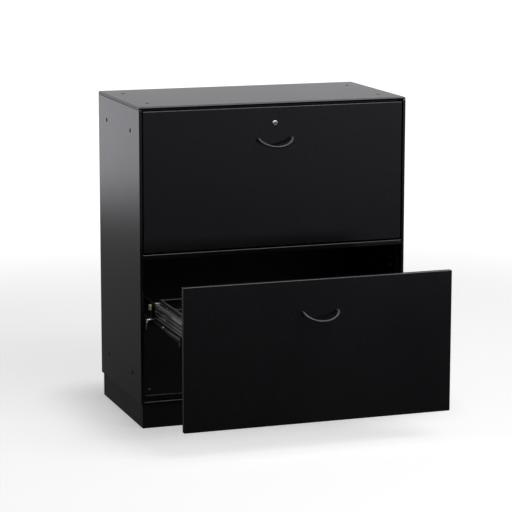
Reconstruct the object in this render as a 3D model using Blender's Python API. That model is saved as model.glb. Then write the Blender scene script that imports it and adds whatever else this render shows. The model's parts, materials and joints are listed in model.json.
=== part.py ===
"""Lateral filing cabinet: two hanging-file drawers in a board carcass on a plinth.

Metres, +Z up. The front faces -Y, and the origin is on the floor under the middle of the carcass.
The upper drawer is shut and the lower drawer is pulled out.
"""
import math

import bmesh
import bpy

# Fits
FIT = 0.0003                   # gap between pieces that touch
EDGE_ROUND = 0.0010            # rounding of the boards' edges

# Carcass
WIDTH = 0.800
DEPTH = 0.430
CARCASS_HEIGHT = 0.850
SIDE_THICK = 0.016
TOP_THICK = 0.016
TOP_ROUND = 0.0065             # wide rounding of the top's front and side edges
TOP_ROUND_STEPS = 6
BOTTOM_THICK = 0.022
LIP = 0.008                    # what the rebates leave of each board
BACK_THICK = 0.008
BACK_INSET = 0.008             # back panel's outer face behind the carcass's rear edge
GROOVE_DEEP = 0.006            # groove in the sides for the back panel

# Recesses for cover caps in the top and the sides
CAP_RADIUS = 0.0055
CAP_RECESS = 0.004
CAP_SIDE_INSET = 0.050         # in the top, from the carcass's left and right faces
CAP_END_INSET = 0.075          # in the sides, from the carcass's upper and lower ends
CAP_EDGE_INSET = 0.090         # from the front and rear edges

# Plinth
PLINTH_HEIGHT = 0.070
PLINTH_INSET = 0.005
PLINTH_THICK = 0.016
BRACE_THICK = 0.022

# Divider rail between the drawers
DIVIDER_THICK = 0.014
DIVIDER_DEPTH = 0.080

# Drawer fronts
FRONT_THICK = 0.016
FRONT_ROUND = 0.0018
STOP_CLEARANCE = 0.004         # shut front to the bottom of its rebate
SIDE_GAP = 0.0035
BOTTOM_GAP = 0.003
BELOW_DIVIDER_GAP = 0.0075
ABOVE_DIVIDER_GAP = 0.0045
TOP_GAP = 0.005
OPENING_SHORT = 0.006          # how far the open lower drawer stops short of its slides' full travel

# Hanging-file frame, measured from the front's top edge and from its back face
FRAME_DROP = 0.1125
FRAME_BACK_GAP = 0.0177        # shut frame to the back panel
FRAME_SHEET = 0.0012
SHOULDER_DROP = 0.011          # file edge above the rail's shoulder
RAIL_WIDE = 0.0195
BEND_WIDE = 0.006
BEND_TALL = 0.010
BEND_STEPS = 5
SKIRT_TALL = 0.041             # outer wall below the shoulder
BEAD_DROP = 0.018              # groove in the outer wall below the shoulder
BEAD_TALL = 0.0075
BEAD_DEEP = 0.0010
HOOK_REACH = 0.013
CROSS_TALL = 0.032
CROSS_DEEP = 0.012
CROSS_SHEET = 0.0015
CENTRE_WIDE = 0.012

# Slides
BATTEN_THICK = 0.0125
SLIDE_SETBACK = 0.006          # slides behind the shut front's back face
SLIDE_BACK_GAP = 0.012         # slides to the back panel
SLIDE_SHEET = 0.002
FLANGE_REACH = 0.0269          # cabinet rail's flange from the batten to its upright
RAIL_SETBACK = 0.028           # cabinet rails behind the front ends of the shut telescopic rails
UPRIGHT_TALL = 0.0355
UPRIGHT_LIP = 0.0056
HANG_TALL = 0.035              # cabinet rail's leg on the batten
TELESCOPE_SHEET = 0.0016
TELESCOPE_CLEARANCE = 0.003    # upright of the cabinet rail to the web of the telescopic rail
TELESCOPE_LIP = 0.0155
RIDGE_DROP = 0.005             # pressed ridge in the telescopic rail's lip, below its foot
RIDGE_TALL = 0.005
RIDGE_DEEP = 0.0014
TELESCOPE_SHARE = 0.62         # how far a telescopic rail follows its drawer
STOP_TAB_LONG = 0.012          # tab turned down at the front end of the telescopic rail
STOP_TAB_TALL = 0.0135
HOOK_CLEARANCE = 0.0006
LOWER_GLIDE_THICK = 0.0025
UPPER_GLIDE_THICK = 0.0035
GLIDE_LENGTH = 0.150
RAIL_OVERHANG = 0.0082         # file rail's outer wall outside the cabinet rail's upright

# Guide post at the front end of each cabinet rail
POST_RADIUS = 0.0062
POST_TALL = 0.022
POST_TOP_DROP = 0.0155         # below the file edge
POST_STEM_RADIUS = 0.0025
POST_FOOT_TALL = 0.002
POST_CLEARANCE = 0.0007
POST_SETBACK = 0.002

# Handle
HANDLE_DROP = 0.089            # fixing points below the front's top edge
HANDLE_PITCH = 0.100
ROD_RADIUS = 0.0035
BOW_REACH = 0.0335
BOW_SAG = 0.022
BOW_STUB = 0.006               # straight start of the rod
BOW_BEND = 1.3                 # how late the sag sets in
BOW_STEPS = 24
SCREW_RADIUS = 0.0018
SCREW_BITE = 0.005             # screw's length inside the rod
SCREW_HEAD_RADIUS = 0.004
SCREW_HEAD_THICK = 0.0026

# Lock
LOCK_DROP = 0.047              # below the upper front's top edge
BEZEL_RADIUS = 0.0093
BEZEL_THICK = 0.0025
BARREL_RADIUS = 0.008
PLUG_RADIUS = 0.0055
PLUG_RECESS = 0.0003
TAIL_RADIUS = 0.0035
TAIL_LENGTH = 0.005
KEY_SLOT = (0.0075, 0.0018, 0.004)
NUT_RADIUS = 0.0115
NUT_THICK = 0.004
BARREL_PAST_NUT = 0.0012
CAM_REACH = 0.030
CAM_WIDE = 0.014
CAM_THICK = 0.0025
KEEPER_WIDE = 0.040
KEEPER_THICK = 0.002
KEEPER_CLEARANCE = 0.018       # keeper's lower edge above the lock's axis
ROUND_STEPS = 32

# Sizes that follow
TOP_Z = PLINTH_HEIGHT + CARCASS_HEIGHT
INNER_HALF = WIDTH / 2 - SIDE_THICK
REBATE_DEEP = FRONT_THICK + STOP_CLEARANCE
FRONT_WIDE = WIDTH - 2 * (LIP + SIDE_GAP)
GAPS = BOTTOM_GAP + BELOW_DIVIDER_GAP + ABOVE_DIVIDER_GAP + TOP_GAP
FRONT_TALL = (CARCASS_HEIGHT - 2 * LIP - DIVIDER_THICK - GAPS) / 2
LOWER_Z = PLINTH_HEIGHT + LIP + BOTTOM_GAP
DIVIDER_Z = LOWER_Z + FRONT_TALL + BELOW_DIVIDER_GAP
UPPER_Z = DIVIDER_Z + DIVIDER_THICK + ABOVE_DIVIDER_GAP
BACK_Y = DEPTH - BACK_INSET - BACK_THICK
FRAME_TOP = FRONT_TALL - FRAME_DROP
FRAME_Y = FRONT_THICK + FIT
FRAME_REAR = BACK_Y - FRAME_BACK_GAP
SLIDE_Y = FRONT_THICK + SLIDE_SETBACK
SLIDE_REAR = BACK_Y - SLIDE_BACK_GAP
RAIL_Y = SLIDE_Y + RAIL_SETBACK
LOWER_OPENING = SLIDE_REAR - SLIDE_Y - OPENING_SHORT

# Cross-section of a slide: distances from the side panel, and heights below the file edge
LEG_IN = BATTEN_THICK + 2 * FIT
UPRIGHT_IN = LEG_IN + FLANGE_REACH
UPRIGHT_LIP_IN = UPRIGHT_IN - UPRIGHT_LIP
WEB_IN = UPRIGHT_IN + TELESCOPE_CLEARANCE
RAIL_IN = UPRIGHT_IN - RAIL_OVERHANG
FRAME_IN = RAIL_IN + RAIL_WIDE
UPPER_GLIDE_TOP = -SHOULDER_DROP - FRAME_SHEET - FIT
TELESCOPE_TOP = UPPER_GLIDE_TOP - UPPER_GLIDE_THICK - FIT
LOWER_GLIDE_TOP = TELESCOPE_TOP - TELESCOPE_SHEET - FIT
UPRIGHT_TOP = LOWER_GLIDE_TOP - LOWER_GLIDE_THICK - FIT
FLANGE_TOP = UPRIGHT_TOP - UPRIGHT_TALL
TELESCOPE_FOOT = FLANGE_TOP - SLIDE_SHEET - HOOK_CLEARANCE
HOOK_TOP = TELESCOPE_FOOT - TELESCOPE_SHEET - HOOK_CLEARANCE

SIDES = {"left": -1, "right": 1}


def clear_scene():
    for thing in list(bpy.data.objects):
        bpy.data.objects.remove(thing, do_unlink=True)


def make_material(name, colour, roughness, metallic=0.0):
    material = bpy.data.materials.new(name)
    material.use_nodes = True
    shader = material.node_tree.nodes["Principled BSDF"]
    shader.inputs["Base Color"].default_value = (*colour, 1.0)
    shader.inputs["Roughness"].default_value = roughness
    shader.inputs["Metallic"].default_value = metallic
    return material


def make_empty(name, parent, location):
    empty = bpy.data.objects.new(name, None)
    empty.location = location
    empty.parent = parent
    bpy.context.scene.collection.objects.link(empty)
    return empty


def make_piece(name, shape, material, parent, location=(0, 0, 0)):
    mesh = bpy.data.meshes.new(name)
    shape.to_mesh(mesh)
    shape.free()
    return place_mesh(name, mesh, material, parent, location)


def place_mesh(name, mesh, material, parent, location=(0, 0, 0)):
    piece = bpy.data.objects.new(name, mesh)
    piece.parent = parent
    piece.location = location
    if material:
        mesh.materials.append(material)
    bpy.context.scene.collection.objects.link(piece)
    return piece


def prism(outline, axis, low, high):
    """A closed outline drawn across an axis, extruded along it from low to high."""
    shape = bmesh.new()
    corners = []
    for first, second in outline:
        point = {"x": (low, first, second), "y": (first, low, second), "z": (first, second, low)}[axis]
        corners.append(shape.verts.new(point))
    face = shape.faces.new(corners)
    reach = high - low
    step = {"x": (reach, 0, 0), "y": (0, reach, 0), "z": (0, 0, reach)}[axis]
    extruded = bmesh.ops.extrude_face_region(shape, geom=[face], use_keep_orig=True)
    moved = [part for part in extruded["geom"] if isinstance(part, bmesh.types.BMVert)]
    bmesh.ops.translate(shape, verts=moved, vec=step)
    bmesh.ops.recalc_face_normals(shape, faces=shape.faces[:])
    return shape


def rectangle(first_low, first_high, second_low, second_high):
    return [
        (first_low, second_low),
        (first_high, second_low),
        (first_high, second_high),
        (first_low, second_high),
    ]


def board(x_range, y_range, z_range):
    return prism(rectangle(*x_range, *y_range), "z", *z_range)


def turned(profile, axis, ring=False):
    """A profile of (radius, place along the axis), turned about that axis; a ring's profile closes on itself."""
    shape = bmesh.new()
    points = []
    for radius, along in profile:
        place = {"x": (along, radius, 0), "y": (radius, along, 0), "z": (radius, 0, along)}[axis]
        points.append(shape.verts.new(place))
    edges = [shape.edges.new(pair) for pair in zip(points, points[1:])]
    if ring:
        edges.append(shape.edges.new((points[-1], points[0])))
    turn_axis = {"x": (1, 0, 0), "y": (0, 1, 0), "z": (0, 0, 1)}[axis]
    bmesh.ops.spin(
        shape, geom=points + edges, cent=(0, 0, 0), axis=turn_axis, angle=2 * math.pi, steps=ROUND_STEPS
    )
    bmesh.ops.remove_doubles(shape, verts=shape.verts[:], dist=1e-6)
    bmesh.ops.recalc_face_normals(shape, faces=shape.faces[:])
    for face in shape.faces:
        face.smooth = True
    return shape


def round_edges(piece, width, segments=2):
    bevel = piece.modifiers.new("rounded edges", "BEVEL")
    bevel.width = width
    bevel.segments = segments
    bevel.limit_method = "ANGLE"
    bevel.angle_limit = math.radians(40)


def combine(piece, shape, name, operation):
    tool = make_piece(name, shape, None, piece.parent, piece.location)
    tool.hide_render = True
    tool.display_type = "WIRE"
    boolean = piece.modifiers.new(name, "BOOLEAN")
    boolean.operation = operation
    boolean.solver = "EXACT"
    boolean.object = tool


def cut(piece, shape, name):
    """Takes a shape, drawn in the piece's own space, out of the piece."""
    combine(piece, shape, name, "DIFFERENCE")


def fuse(piece, shape, name):
    """Adds a shape, drawn in the piece's own space, to the piece."""
    combine(piece, shape, name, "UNION")


def join_shapes(shapes):
    whole = bmesh.new()
    for shape in shapes:
        mesh = bpy.data.meshes.new("part of a shape")
        shape.to_mesh(mesh)
        shape.free()
        whole.from_mesh(mesh)
        bpy.data.meshes.remove(mesh)
    return whole


def drilled(radius, low, high, places, axis="y"):
    """Round holes along an axis from low to high, at places given in the other two directions."""
    holes = []
    for first, second in places:
        hole = turned([(0, high), (radius, high), (radius, low), (0, low)], axis)
        shift = {"x": (0, first, second), "y": (first, 0, second), "z": (first, second, 0)}[axis]
        bmesh.ops.translate(hole, verts=hole.verts[:], vec=shift)
        holes.append(hole)
    return join_shapes(holes)


# Carcass

def add_side_panel(name, side, lacquer, cabinet):
    outer = side * WIDTH / 2
    inner = side * INNER_HALF
    lip = side * (WIDTH / 2 - LIP)
    groove = side * (INNER_HALF + GROOVE_DEEP)
    groove_front = BACK_Y - FIT
    groove_rear = BACK_Y + BACK_THICK + FIT
    outline = [
        (outer, 0),
        (outer, DEPTH),
        (inner, DEPTH),
        (inner, groove_rear),
        (groove, groove_rear),
        (groove, groove_front),
        (inner, groove_front),
        (inner, REBATE_DEEP),
        (lip, REBATE_DEEP),
        (lip, 0),
    ]
    panel = make_piece(name, prism(outline, "z", PLINTH_HEIGHT, TOP_Z - LIP - FIT), lacquer, cabinet)
    round_edges(panel, EDGE_ROUND)
    heights = (PLINTH_HEIGHT + CAP_END_INSET, TOP_Z - CAP_END_INSET)
    places = [(y, z) for y in (CAP_EDGE_INSET, DEPTH - CAP_EDGE_INSET) for z in heights]
    recess = sorted((outer - side * CAP_RECESS, outer + side * CAP_RECESS))
    cut(panel, drilled(CAP_RADIUS, *recess, places, "x"), f"{name} cap recesses")


def side_cutters(half_kept, y_range, z_range):
    """Blocks that take both ends off a wide board beyond half_kept."""
    beyond = WIDTH
    left = board((-beyond, -half_kept), y_range, z_range)
    right = board((half_kept, beyond), y_range, z_range)
    return join_shapes([left, right])


def top_arc(edge, inward):
    """Quarter round from below an edge of the top up to its upper face; inward is +1 or -1."""
    points = []
    for step in range(TOP_ROUND_STEPS + 1):
        angle = math.pi / 2 * step / TOP_ROUND_STEPS
        across = edge + inward * TOP_ROUND * (1 - math.cos(angle))
        points.append((across, TOP_Z - TOP_ROUND * (1 - math.sin(angle))))
    return points


def add_top_panel(lacquer, cabinet):
    under = TOP_Z - TOP_THICK
    lip_under = TOP_Z - LIP
    outline = top_arc(0, 1) + [
        (DEPTH, TOP_Z),
        (DEPTH, under),
        (REBATE_DEEP, under),
        (REBATE_DEEP, lip_under),
        (0, lip_under),
    ]
    panel = make_piece("top_panel", prism(outline, "x", -WIDTH / 2, WIDTH / 2), lacquer, cabinet)
    lap = side_cutters(INNER_HALF - FIT, (-LIP, DEPTH + LIP), (under - LIP, lip_under))
    cut(panel, lap, "lap over the sides")
    corners = []
    for side in SIDES.values():
        beyond = side * (WIDTH / 2 + LIP)
        corner = top_arc(side * WIDTH / 2, -side)
        waste = [(beyond, TOP_Z - TOP_ROUND)] + corner + [(corner[-1][0], TOP_Z + LIP), (beyond, TOP_Z + LIP)]
        corners.append(prism(waste, "y", -LIP, DEPTH + LIP))
    cut(panel, join_shapes(corners), "rounding of the top's ends")
    round_edges(panel, EDGE_ROUND)
    spread = WIDTH / 2 - CAP_SIDE_INSET
    places = [(x, y) for x in (-spread, spread) for y in (CAP_EDGE_INSET, DEPTH - CAP_EDGE_INSET)]
    cut(panel, drilled(CAP_RADIUS, TOP_Z - CAP_RECESS, TOP_Z + CAP_RECESS, places, "z"), "top cap recesses")


def add_bottom_panel(lacquer, cabinet):
    low = PLINTH_HEIGHT
    lip_top = low + LIP
    high = low + BOTTOM_THICK
    outline = [
        (0, low),
        (DEPTH, low),
        (DEPTH, high),
        (REBATE_DEEP, high),
        (REBATE_DEEP, lip_top),
        (0, lip_top),
    ]
    half = WIDTH / 2 - LIP - FIT
    panel = make_piece("bottom_panel", prism(outline, "x", -half, half), lacquer, cabinet)
    notch = side_cutters(INNER_HALF - FIT, (REBATE_DEEP - FIT, DEPTH + LIP), (low - LIP, high + LIP))
    cut(panel, notch, "notch for the sides")
    round_edges(panel, EDGE_ROUND)


def add_divider(lacquer, cabinet):
    wide = WIDTH / 2 - LIP - FIT
    narrow = INNER_HALF - FIT
    step = REBATE_DEEP - FIT
    outline = [
        (-wide, 0),
        (wide, 0),
        (wide, step),
        (narrow, step),
        (narrow, DIVIDER_DEPTH),
        (-narrow, DIVIDER_DEPTH),
        (-narrow, step),
        (-wide, step),
    ]
    rail = make_piece("drawer_divider", prism(outline, "z", DIVIDER_Z, DIVIDER_Z + DIVIDER_THICK), lacquer, cabinet)
    round_edges(rail, EDGE_ROUND)


def add_back_panel(lacquer, cabinet):
    half = INNER_HALF + GROOVE_DEEP - FIT
    shape = board(
        (-half, half),
        (BACK_Y, BACK_Y + BACK_THICK),
        (PLINTH_HEIGHT + BOTTOM_THICK + FIT, TOP_Z - TOP_THICK - FIT),
    )
    make_piece("back_panel", shape, lacquer, cabinet)


def add_plinth(lacquer, cabinet):
    half = WIDTH / 2 - PLINTH_INSET
    front = PLINTH_INSET
    rear = DEPTH - PLINTH_INSET
    between = (front + PLINTH_THICK + FIT, rear - PLINTH_THICK - FIT)
    boards = {
        "plinth_front": ((-half, half), (front, front + PLINTH_THICK)),
        "plinth_rear": ((-half, half), (rear - PLINTH_THICK, rear)),
        "plinth_left": ((-half, -half + PLINTH_THICK), between),
        "plinth_right": ((half - PLINTH_THICK, half), between),
        "plinth_brace": ((-BRACE_THICK / 2, BRACE_THICK / 2), between),
    }
    for name, (x_range, y_range) in boards.items():
        piece = make_piece(name, board(x_range, y_range, (0, PLINTH_HEIGHT - FIT)), lacquer, cabinet)
        round_edges(piece, EDGE_ROUND)


# Slides, drawn as distances from the side panel and heights below the file edge

def section(side, outline):
    return [(side * (INNER_HALF - inward), height) for inward, height in outline]


def add_cabinet_slide(label, side, finishes, runner):
    leg_foot = FLANGE_TOP - HANG_TALL
    batten = section(side, rectangle(FIT, FIT + BATTEN_THICK, leg_foot, FLANGE_TOP - SLIDE_SHEET))
    make_piece(f"{label}_slide_batten", prism(batten, "y", RAIL_Y, SLIDE_REAR), finishes["lacquer"], runner)

    upright_out = UPRIGHT_IN - SLIDE_SHEET
    lip_under = UPRIGHT_TOP - SLIDE_SHEET
    rail = [
        (LEG_IN, leg_foot),
        (LEG_IN, FLANGE_TOP),
        (upright_out, FLANGE_TOP),
        (upright_out, lip_under),
        (UPRIGHT_LIP_IN, lip_under),
        (UPRIGHT_LIP_IN, UPRIGHT_TOP),
        (UPRIGHT_IN, UPRIGHT_TOP),
        (UPRIGHT_IN, FLANGE_TOP - SLIDE_SHEET),
        (LEG_IN + SLIDE_SHEET, FLANGE_TOP - SLIDE_SHEET),
        (LEG_IN + SLIDE_SHEET, leg_foot),
    ]
    rail_shape = prism(section(side, rail), "y", RAIL_Y, SLIDE_REAR)
    make_piece(f"{label}_cabinet_rail", rail_shape, finishes["zinc"], runner)

    glide = rectangle(UPRIGHT_LIP_IN, WEB_IN - FIT, LOWER_GLIDE_TOP - LOWER_GLIDE_THICK, LOWER_GLIDE_TOP)
    glide_shape = prism(section(side, glide), "y", RAIL_Y, RAIL_Y + GLIDE_LENGTH)
    make_piece(f"{label}_cabinet_glide", glide_shape, finishes["nylon"], runner)
    add_guide_post(f"{label}_guide_post", side, finishes["nylon"], runner)


def add_guide_post(name, side, nylon, runner):
    head_top = -POST_TOP_DROP
    head_low = head_top - POST_TALL
    foot_low = FLANGE_TOP + FIT
    foot_top = foot_low + POST_FOOT_TALL
    eased = POST_RADIUS - EDGE_ROUND
    profile = [
        (0, head_top),
        (eased, head_top),
        (POST_RADIUS, head_top - EDGE_ROUND),
        (POST_RADIUS, head_low + EDGE_ROUND),
        (eased, head_low),
        (POST_STEM_RADIUS, head_low),
        (POST_STEM_RADIUS, foot_top),
        (eased, foot_top),
        (eased, foot_low),
        (0, foot_low),
    ]
    inward = RAIL_IN - POST_CLEARANCE - POST_RADIUS
    place = (side * (INNER_HALF - inward), RAIL_Y + POST_SETBACK + POST_RADIUS, 0)
    make_piece(name, turned(profile, "z"), nylon, runner, place)


def add_telescope(label, side, finishes, carriage):
    foot_under = TELESCOPE_FOOT - TELESCOPE_SHEET
    lip_out = UPRIGHT_LIP_IN + HOOK_CLEARANCE
    lip_in = lip_out + TELESCOPE_SHEET
    lip_low = TELESCOPE_FOOT - TELESCOPE_LIP
    ridge_top = TELESCOPE_FOOT - RIDGE_DROP
    ridge_low = ridge_top - RIDGE_TALL
    eased = TELESCOPE_SHEET / 2
    outline = [
        (UPRIGHT_LIP_IN, TELESCOPE_TOP),
        (WEB_IN + TELESCOPE_SHEET, TELESCOPE_TOP),
        (WEB_IN + TELESCOPE_SHEET, foot_under),
        (lip_in, foot_under),
        (lip_in, ridge_top - eased),
        (lip_in - RIDGE_DEEP, ridge_top - RIDGE_DEEP - eased),
        (lip_in - RIDGE_DEEP, ridge_low + RIDGE_DEEP + eased),
        (lip_in, ridge_low + eased),
        (lip_in, lip_low),
        (lip_out, lip_low),
        (lip_out, ridge_low),
        (lip_out - RIDGE_DEEP, ridge_low + RIDGE_DEEP),
        (lip_out - RIDGE_DEEP, ridge_top - RIDGE_DEEP),
        (lip_out, ridge_top),
        (lip_out, TELESCOPE_FOOT),
        (WEB_IN, TELESCOPE_FOOT),
        (WEB_IN, TELESCOPE_TOP - TELESCOPE_SHEET),
        (UPRIGHT_LIP_IN, TELESCOPE_TOP - TELESCOPE_SHEET),
    ]
    shape = prism(section(side, outline), "y", SLIDE_Y, SLIDE_REAR)
    rail = make_piece(f"{label}_telescopic_rail", shape, finishes["steel"], carriage)
    tab = rectangle(lip_out, lip_in, lip_low - STOP_TAB_TALL, lip_low + TELESCOPE_SHEET)
    tab_shape = prism(section(side, tab), "y", SLIDE_Y, SLIDE_Y + STOP_TAB_LONG)
    fuse(rail, tab_shape, f"{label} stop tab")

    glide = rectangle(
        RAIL_IN + BEND_WIDE,
        FRAME_IN - FRAME_SHEET - FIT,
        UPPER_GLIDE_TOP - UPPER_GLIDE_THICK,
        UPPER_GLIDE_TOP,
    )
    glide_shape = prism(section(side, glide), "y", SLIDE_Y, SLIDE_Y + GLIDE_LENGTH)
    make_piece(f"{label}_telescopic_glide", glide_shape, finishes["nylon"], carriage)


# Drawers, drawn from the front's outer face and lower edge

def bend_arc(wide, tall):
    """The file rail's rounded shoulder, from its outer wall up to the shoulder."""
    centre_in = RAIL_IN + BEND_WIDE
    centre_height = -SHOULDER_DROP - BEND_TALL
    points = []
    for step in range(BEND_STEPS + 1):
        angle = math.pi / 2 * step / BEND_STEPS
        points.append((centre_in - wide * math.cos(angle), centre_height + tall * math.sin(angle)))
    return points


def outer_wall(face, shift):
    """One face of the outer wall with its pressed groove, from the bottom up."""
    bead_top = -SHOULDER_DROP - BEAD_DROP
    bead_low = bead_top - BEAD_TALL
    return [
        (face, -SHOULDER_DROP - SKIRT_TALL),
        (face, bead_low - shift),
        (face + BEAD_DEEP, bead_low + BEAD_DEEP - shift),
        (face + BEAD_DEEP, bead_top - BEAD_DEEP + shift),
        (face, bead_top + shift),
    ]


def file_rail_outline():
    shoulder_under = -SHOULDER_DROP - FRAME_SHEET
    inside = FRAME_IN - FRAME_SHEET
    outer_face = outer_wall(RAIL_IN, 0) + bend_arc(BEND_WIDE, BEND_TALL)
    inner_wall = outer_wall(RAIL_IN + FRAME_SHEET, FRAME_SHEET / 2)
    inner_face = inner_wall + bend_arc(BEND_WIDE - FRAME_SHEET, BEND_TALL - FRAME_SHEET)
    file_edge = [(inside, -SHOULDER_DROP), (inside, 0), (FRAME_IN, 0)]
    hook = [
        (FRAME_IN, HOOK_TOP - FRAME_SHEET),
        (FRAME_IN - HOOK_REACH, HOOK_TOP - FRAME_SHEET),
        (FRAME_IN - HOOK_REACH, HOOK_TOP),
        (inside, HOOK_TOP),
        (inside, shoulder_under),
    ]
    return outer_face + file_edge + hook + inner_face[::-1]


def add_frame(label, finishes, drawer):
    rear = FRAME_REAR
    steel = finishes["steel"]
    for side_name, side in SIDES.items():
        outline = [(x, FRAME_TOP + height) for x, height in section(side, file_rail_outline())]
        make_piece(f"{label}_{side_name}_file_rail", prism(outline, "y", FRAME_Y, rear), steel, drawer)

    half = INNER_HALF - FRAME_IN - FIT
    low = FRAME_TOP - CROSS_TALL
    cross_rails = {
        "front": (FRAME_Y, FRAME_Y + CROSS_DEEP, CROSS_SHEET),
        "rear": (rear, rear - CROSS_DEEP, -CROSS_SHEET),
    }
    for place, (web, open_side, sheet) in cross_rails.items():
        outline = [
            (web, FRAME_TOP),
            (open_side, FRAME_TOP),
            (open_side, FRAME_TOP - CROSS_SHEET),
            (web + sheet, FRAME_TOP - CROSS_SHEET),
            (web + sheet, low + CROSS_SHEET),
            (open_side, low + CROSS_SHEET),
            (open_side, low),
            (web, low),
        ]
        make_piece(f"{label}_{place}_cross_rail", prism(outline, "x", -half, half), steel, drawer)

    wide = CENTRE_WIDE / 2
    hollow = wide - CROSS_SHEET
    under = FRAME_TOP - CROSS_SHEET
    centre = [
        (-wide, FRAME_TOP),
        (wide, FRAME_TOP),
        (wide, low),
        (hollow, low),
        (hollow, under),
        (-hollow, under),
        (-hollow, low),
        (-wide, low),
    ]
    centre_shape = prism(centre, "y", FRAME_Y + CROSS_DEEP + FIT, rear - CROSS_DEEP - FIT)
    make_piece(f"{label}_centre_file_rail", centre_shape, steel, drawer)


def screw_places():
    height = FRONT_TALL - HANDLE_DROP
    return [(side * HANDLE_PITCH / 2, height) for side in SIDES.values()]


def add_front(label, has_lock, lacquer, drawer):
    shape = board((-FRONT_WIDE / 2, FRONT_WIDE / 2), (0, FRONT_THICK), (0, FRONT_TALL))
    front = make_piece(f"{label}_drawer_front", shape, lacquer, drawer)
    round_edges(front, FRONT_ROUND, 3)
    through = (-FRONT_THICK, 2 * FRONT_THICK)
    cut(front, drilled(SCREW_RADIUS + FIT, *through, screw_places()), f"{label} screw holes")
    if has_lock:
        lock_place = [(0, FRONT_TALL - LOCK_DROP)]
        cut(front, drilled(BARREL_RADIUS + FIT, *through, lock_place), f"{label} lock hole")


def bow_points():
    """Centre line of the bent rod, leaving the front square and sagging towards its middle."""
    half = HANDLE_PITCH / 2
    height = FRONT_TALL - HANDLE_DROP
    arc = []
    for step in range(BOW_STEPS + 1):
        angle = math.pi * step / BOW_STEPS
        lift = max(math.sin(angle), 0.0)
        reach = BOW_STUB + (BOW_REACH - BOW_STUB) * lift
        arc.append((-half * math.cos(angle), -reach, height - BOW_SAG * lift ** BOW_BEND))
    return [(-half, -FIT, height)] + arc + [(half, -FIT, height)]


def add_handle(label, finishes, drawer):
    curve = bpy.data.curves.new(f"{label} bow", "CURVE")
    curve.dimensions = "3D"
    curve.bevel_depth = ROD_RADIUS
    curve.bevel_resolution = 4
    curve.use_fill_caps = True
    spline = curve.splines.new("POLY")
    points = bow_points()
    spline.points.add(len(points) - 1)
    for point, place in zip(spline.points, points):
        point.co = (*place, 1)
    guide = bpy.data.objects.new(f"{label} bow", curve)
    mesh = bpy.data.meshes.new_from_object(guide)
    bpy.data.objects.remove(guide)
    shape = bmesh.new()
    shape.from_mesh(mesh)
    bpy.data.meshes.remove(mesh)
    bmesh.ops.remove_doubles(shape, verts=shape.verts[:], dist=1e-6)
    bmesh.ops.recalc_face_normals(shape, faces=shape.faces[:])
    for face in shape.faces:
        face.smooth = True
    handle = make_piece(f"{label}_handle", shape, finishes["handle"], drawer)
    bite = SCREW_BITE + FIT
    sockets = drilled(SCREW_RADIUS + FIT, -FIT - bite, ROD_RADIUS, screw_places())
    cut(handle, sockets, f"{label} handle sockets")

    seat = FRONT_THICK + FIT
    profile = [
        (0, seat + SCREW_HEAD_THICK),
        (SCREW_HEAD_RADIUS, seat + SCREW_HEAD_THICK),
        (SCREW_HEAD_RADIUS, seat),
        (SCREW_RADIUS, seat),
        (SCREW_RADIUS, -SCREW_BITE),
        (0, -SCREW_BITE),
    ]
    for side_name, (x, z) in zip(SIDES, screw_places()):
        make_piece(f"{label}_{side_name}_handle_screw", turned(profile, "y"), finishes["zinc"], drawer, (x, 0, z))


# Lock, drawn from the upper front's outer face on the lock's axis

def add_lock(finishes, drawer, turning):
    axis = (0, 0, FRONT_TALL - LOCK_DROP)
    bezel_front = -FIT - BEZEL_THICK
    nut_rear = FRONT_THICK + FIT + NUT_THICK
    barrel_end = nut_rear + BARREL_PAST_NUT
    bore = PLUG_RADIUS + FIT
    housing = [
        (bore, bezel_front),
        (BEZEL_RADIUS - EDGE_ROUND / 2, bezel_front),
        (BEZEL_RADIUS, bezel_front + EDGE_ROUND / 2),
        (BEZEL_RADIUS, -FIT),
        (BARREL_RADIUS, -FIT),
        (BARREL_RADIUS, barrel_end),
        (bore, barrel_end),
    ]
    make_piece("lock_housing", turned(housing, "y", ring=True), finishes["chrome"], drawer, axis)

    hexagon = []
    for corner in range(6):
        angle = math.pi / 3 * corner
        hexagon.append((NUT_RADIUS * math.cos(angle), NUT_RADIUS * math.sin(angle)))
    nut = make_piece("lock_nut", prism(hexagon, "y", FRONT_THICK + FIT, nut_rear), finishes["zinc"], drawer, axis)
    cut(nut, drilled(BARREL_RADIUS + FIT, 0, nut_rear + BARREL_PAST_NUT, [(0, 0)]), "nut bore")

    plug_front = bezel_front + PLUG_RECESS
    tail_end = barrel_end + TAIL_LENGTH
    plug = [
        (0, plug_front),
        (PLUG_RADIUS, plug_front),
        (PLUG_RADIUS, barrel_end),
        (TAIL_RADIUS, barrel_end),
        (TAIL_RADIUS, tail_end),
        (0, tail_end),
    ]
    plug_piece = make_piece("lock_plug", turned(plug[::-1], "y"), finishes["chrome"], turning)
    slot_wide, slot_tall, slot_deep = KEY_SLOT
    slot = board(
        (-slot_wide / 2, slot_wide / 2),
        (plug_front - slot_deep, plug_front + slot_deep),
        (-slot_tall / 2, slot_tall / 2),
    )
    cut(plug_piece, slot, "key slot")

    cam_front = barrel_end + FIT
    half = CAM_WIDE / 2
    outline = []
    for step in range(13):
        angle = math.pi / 2 + math.pi * step / 12
        outline.append((half * math.cos(angle), half * math.sin(angle)))
    outline.append((CAM_REACH, -half))
    outline.append((CAM_REACH, half))
    cam = make_piece("lock_cam", prism(outline, "y", cam_front, cam_front + CAM_THICK), finishes["zinc"], turning)
    cut(cam, drilled(TAIL_RADIUS + FIT, barrel_end, tail_end, [(0, 0)]), "cam hole")


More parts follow.
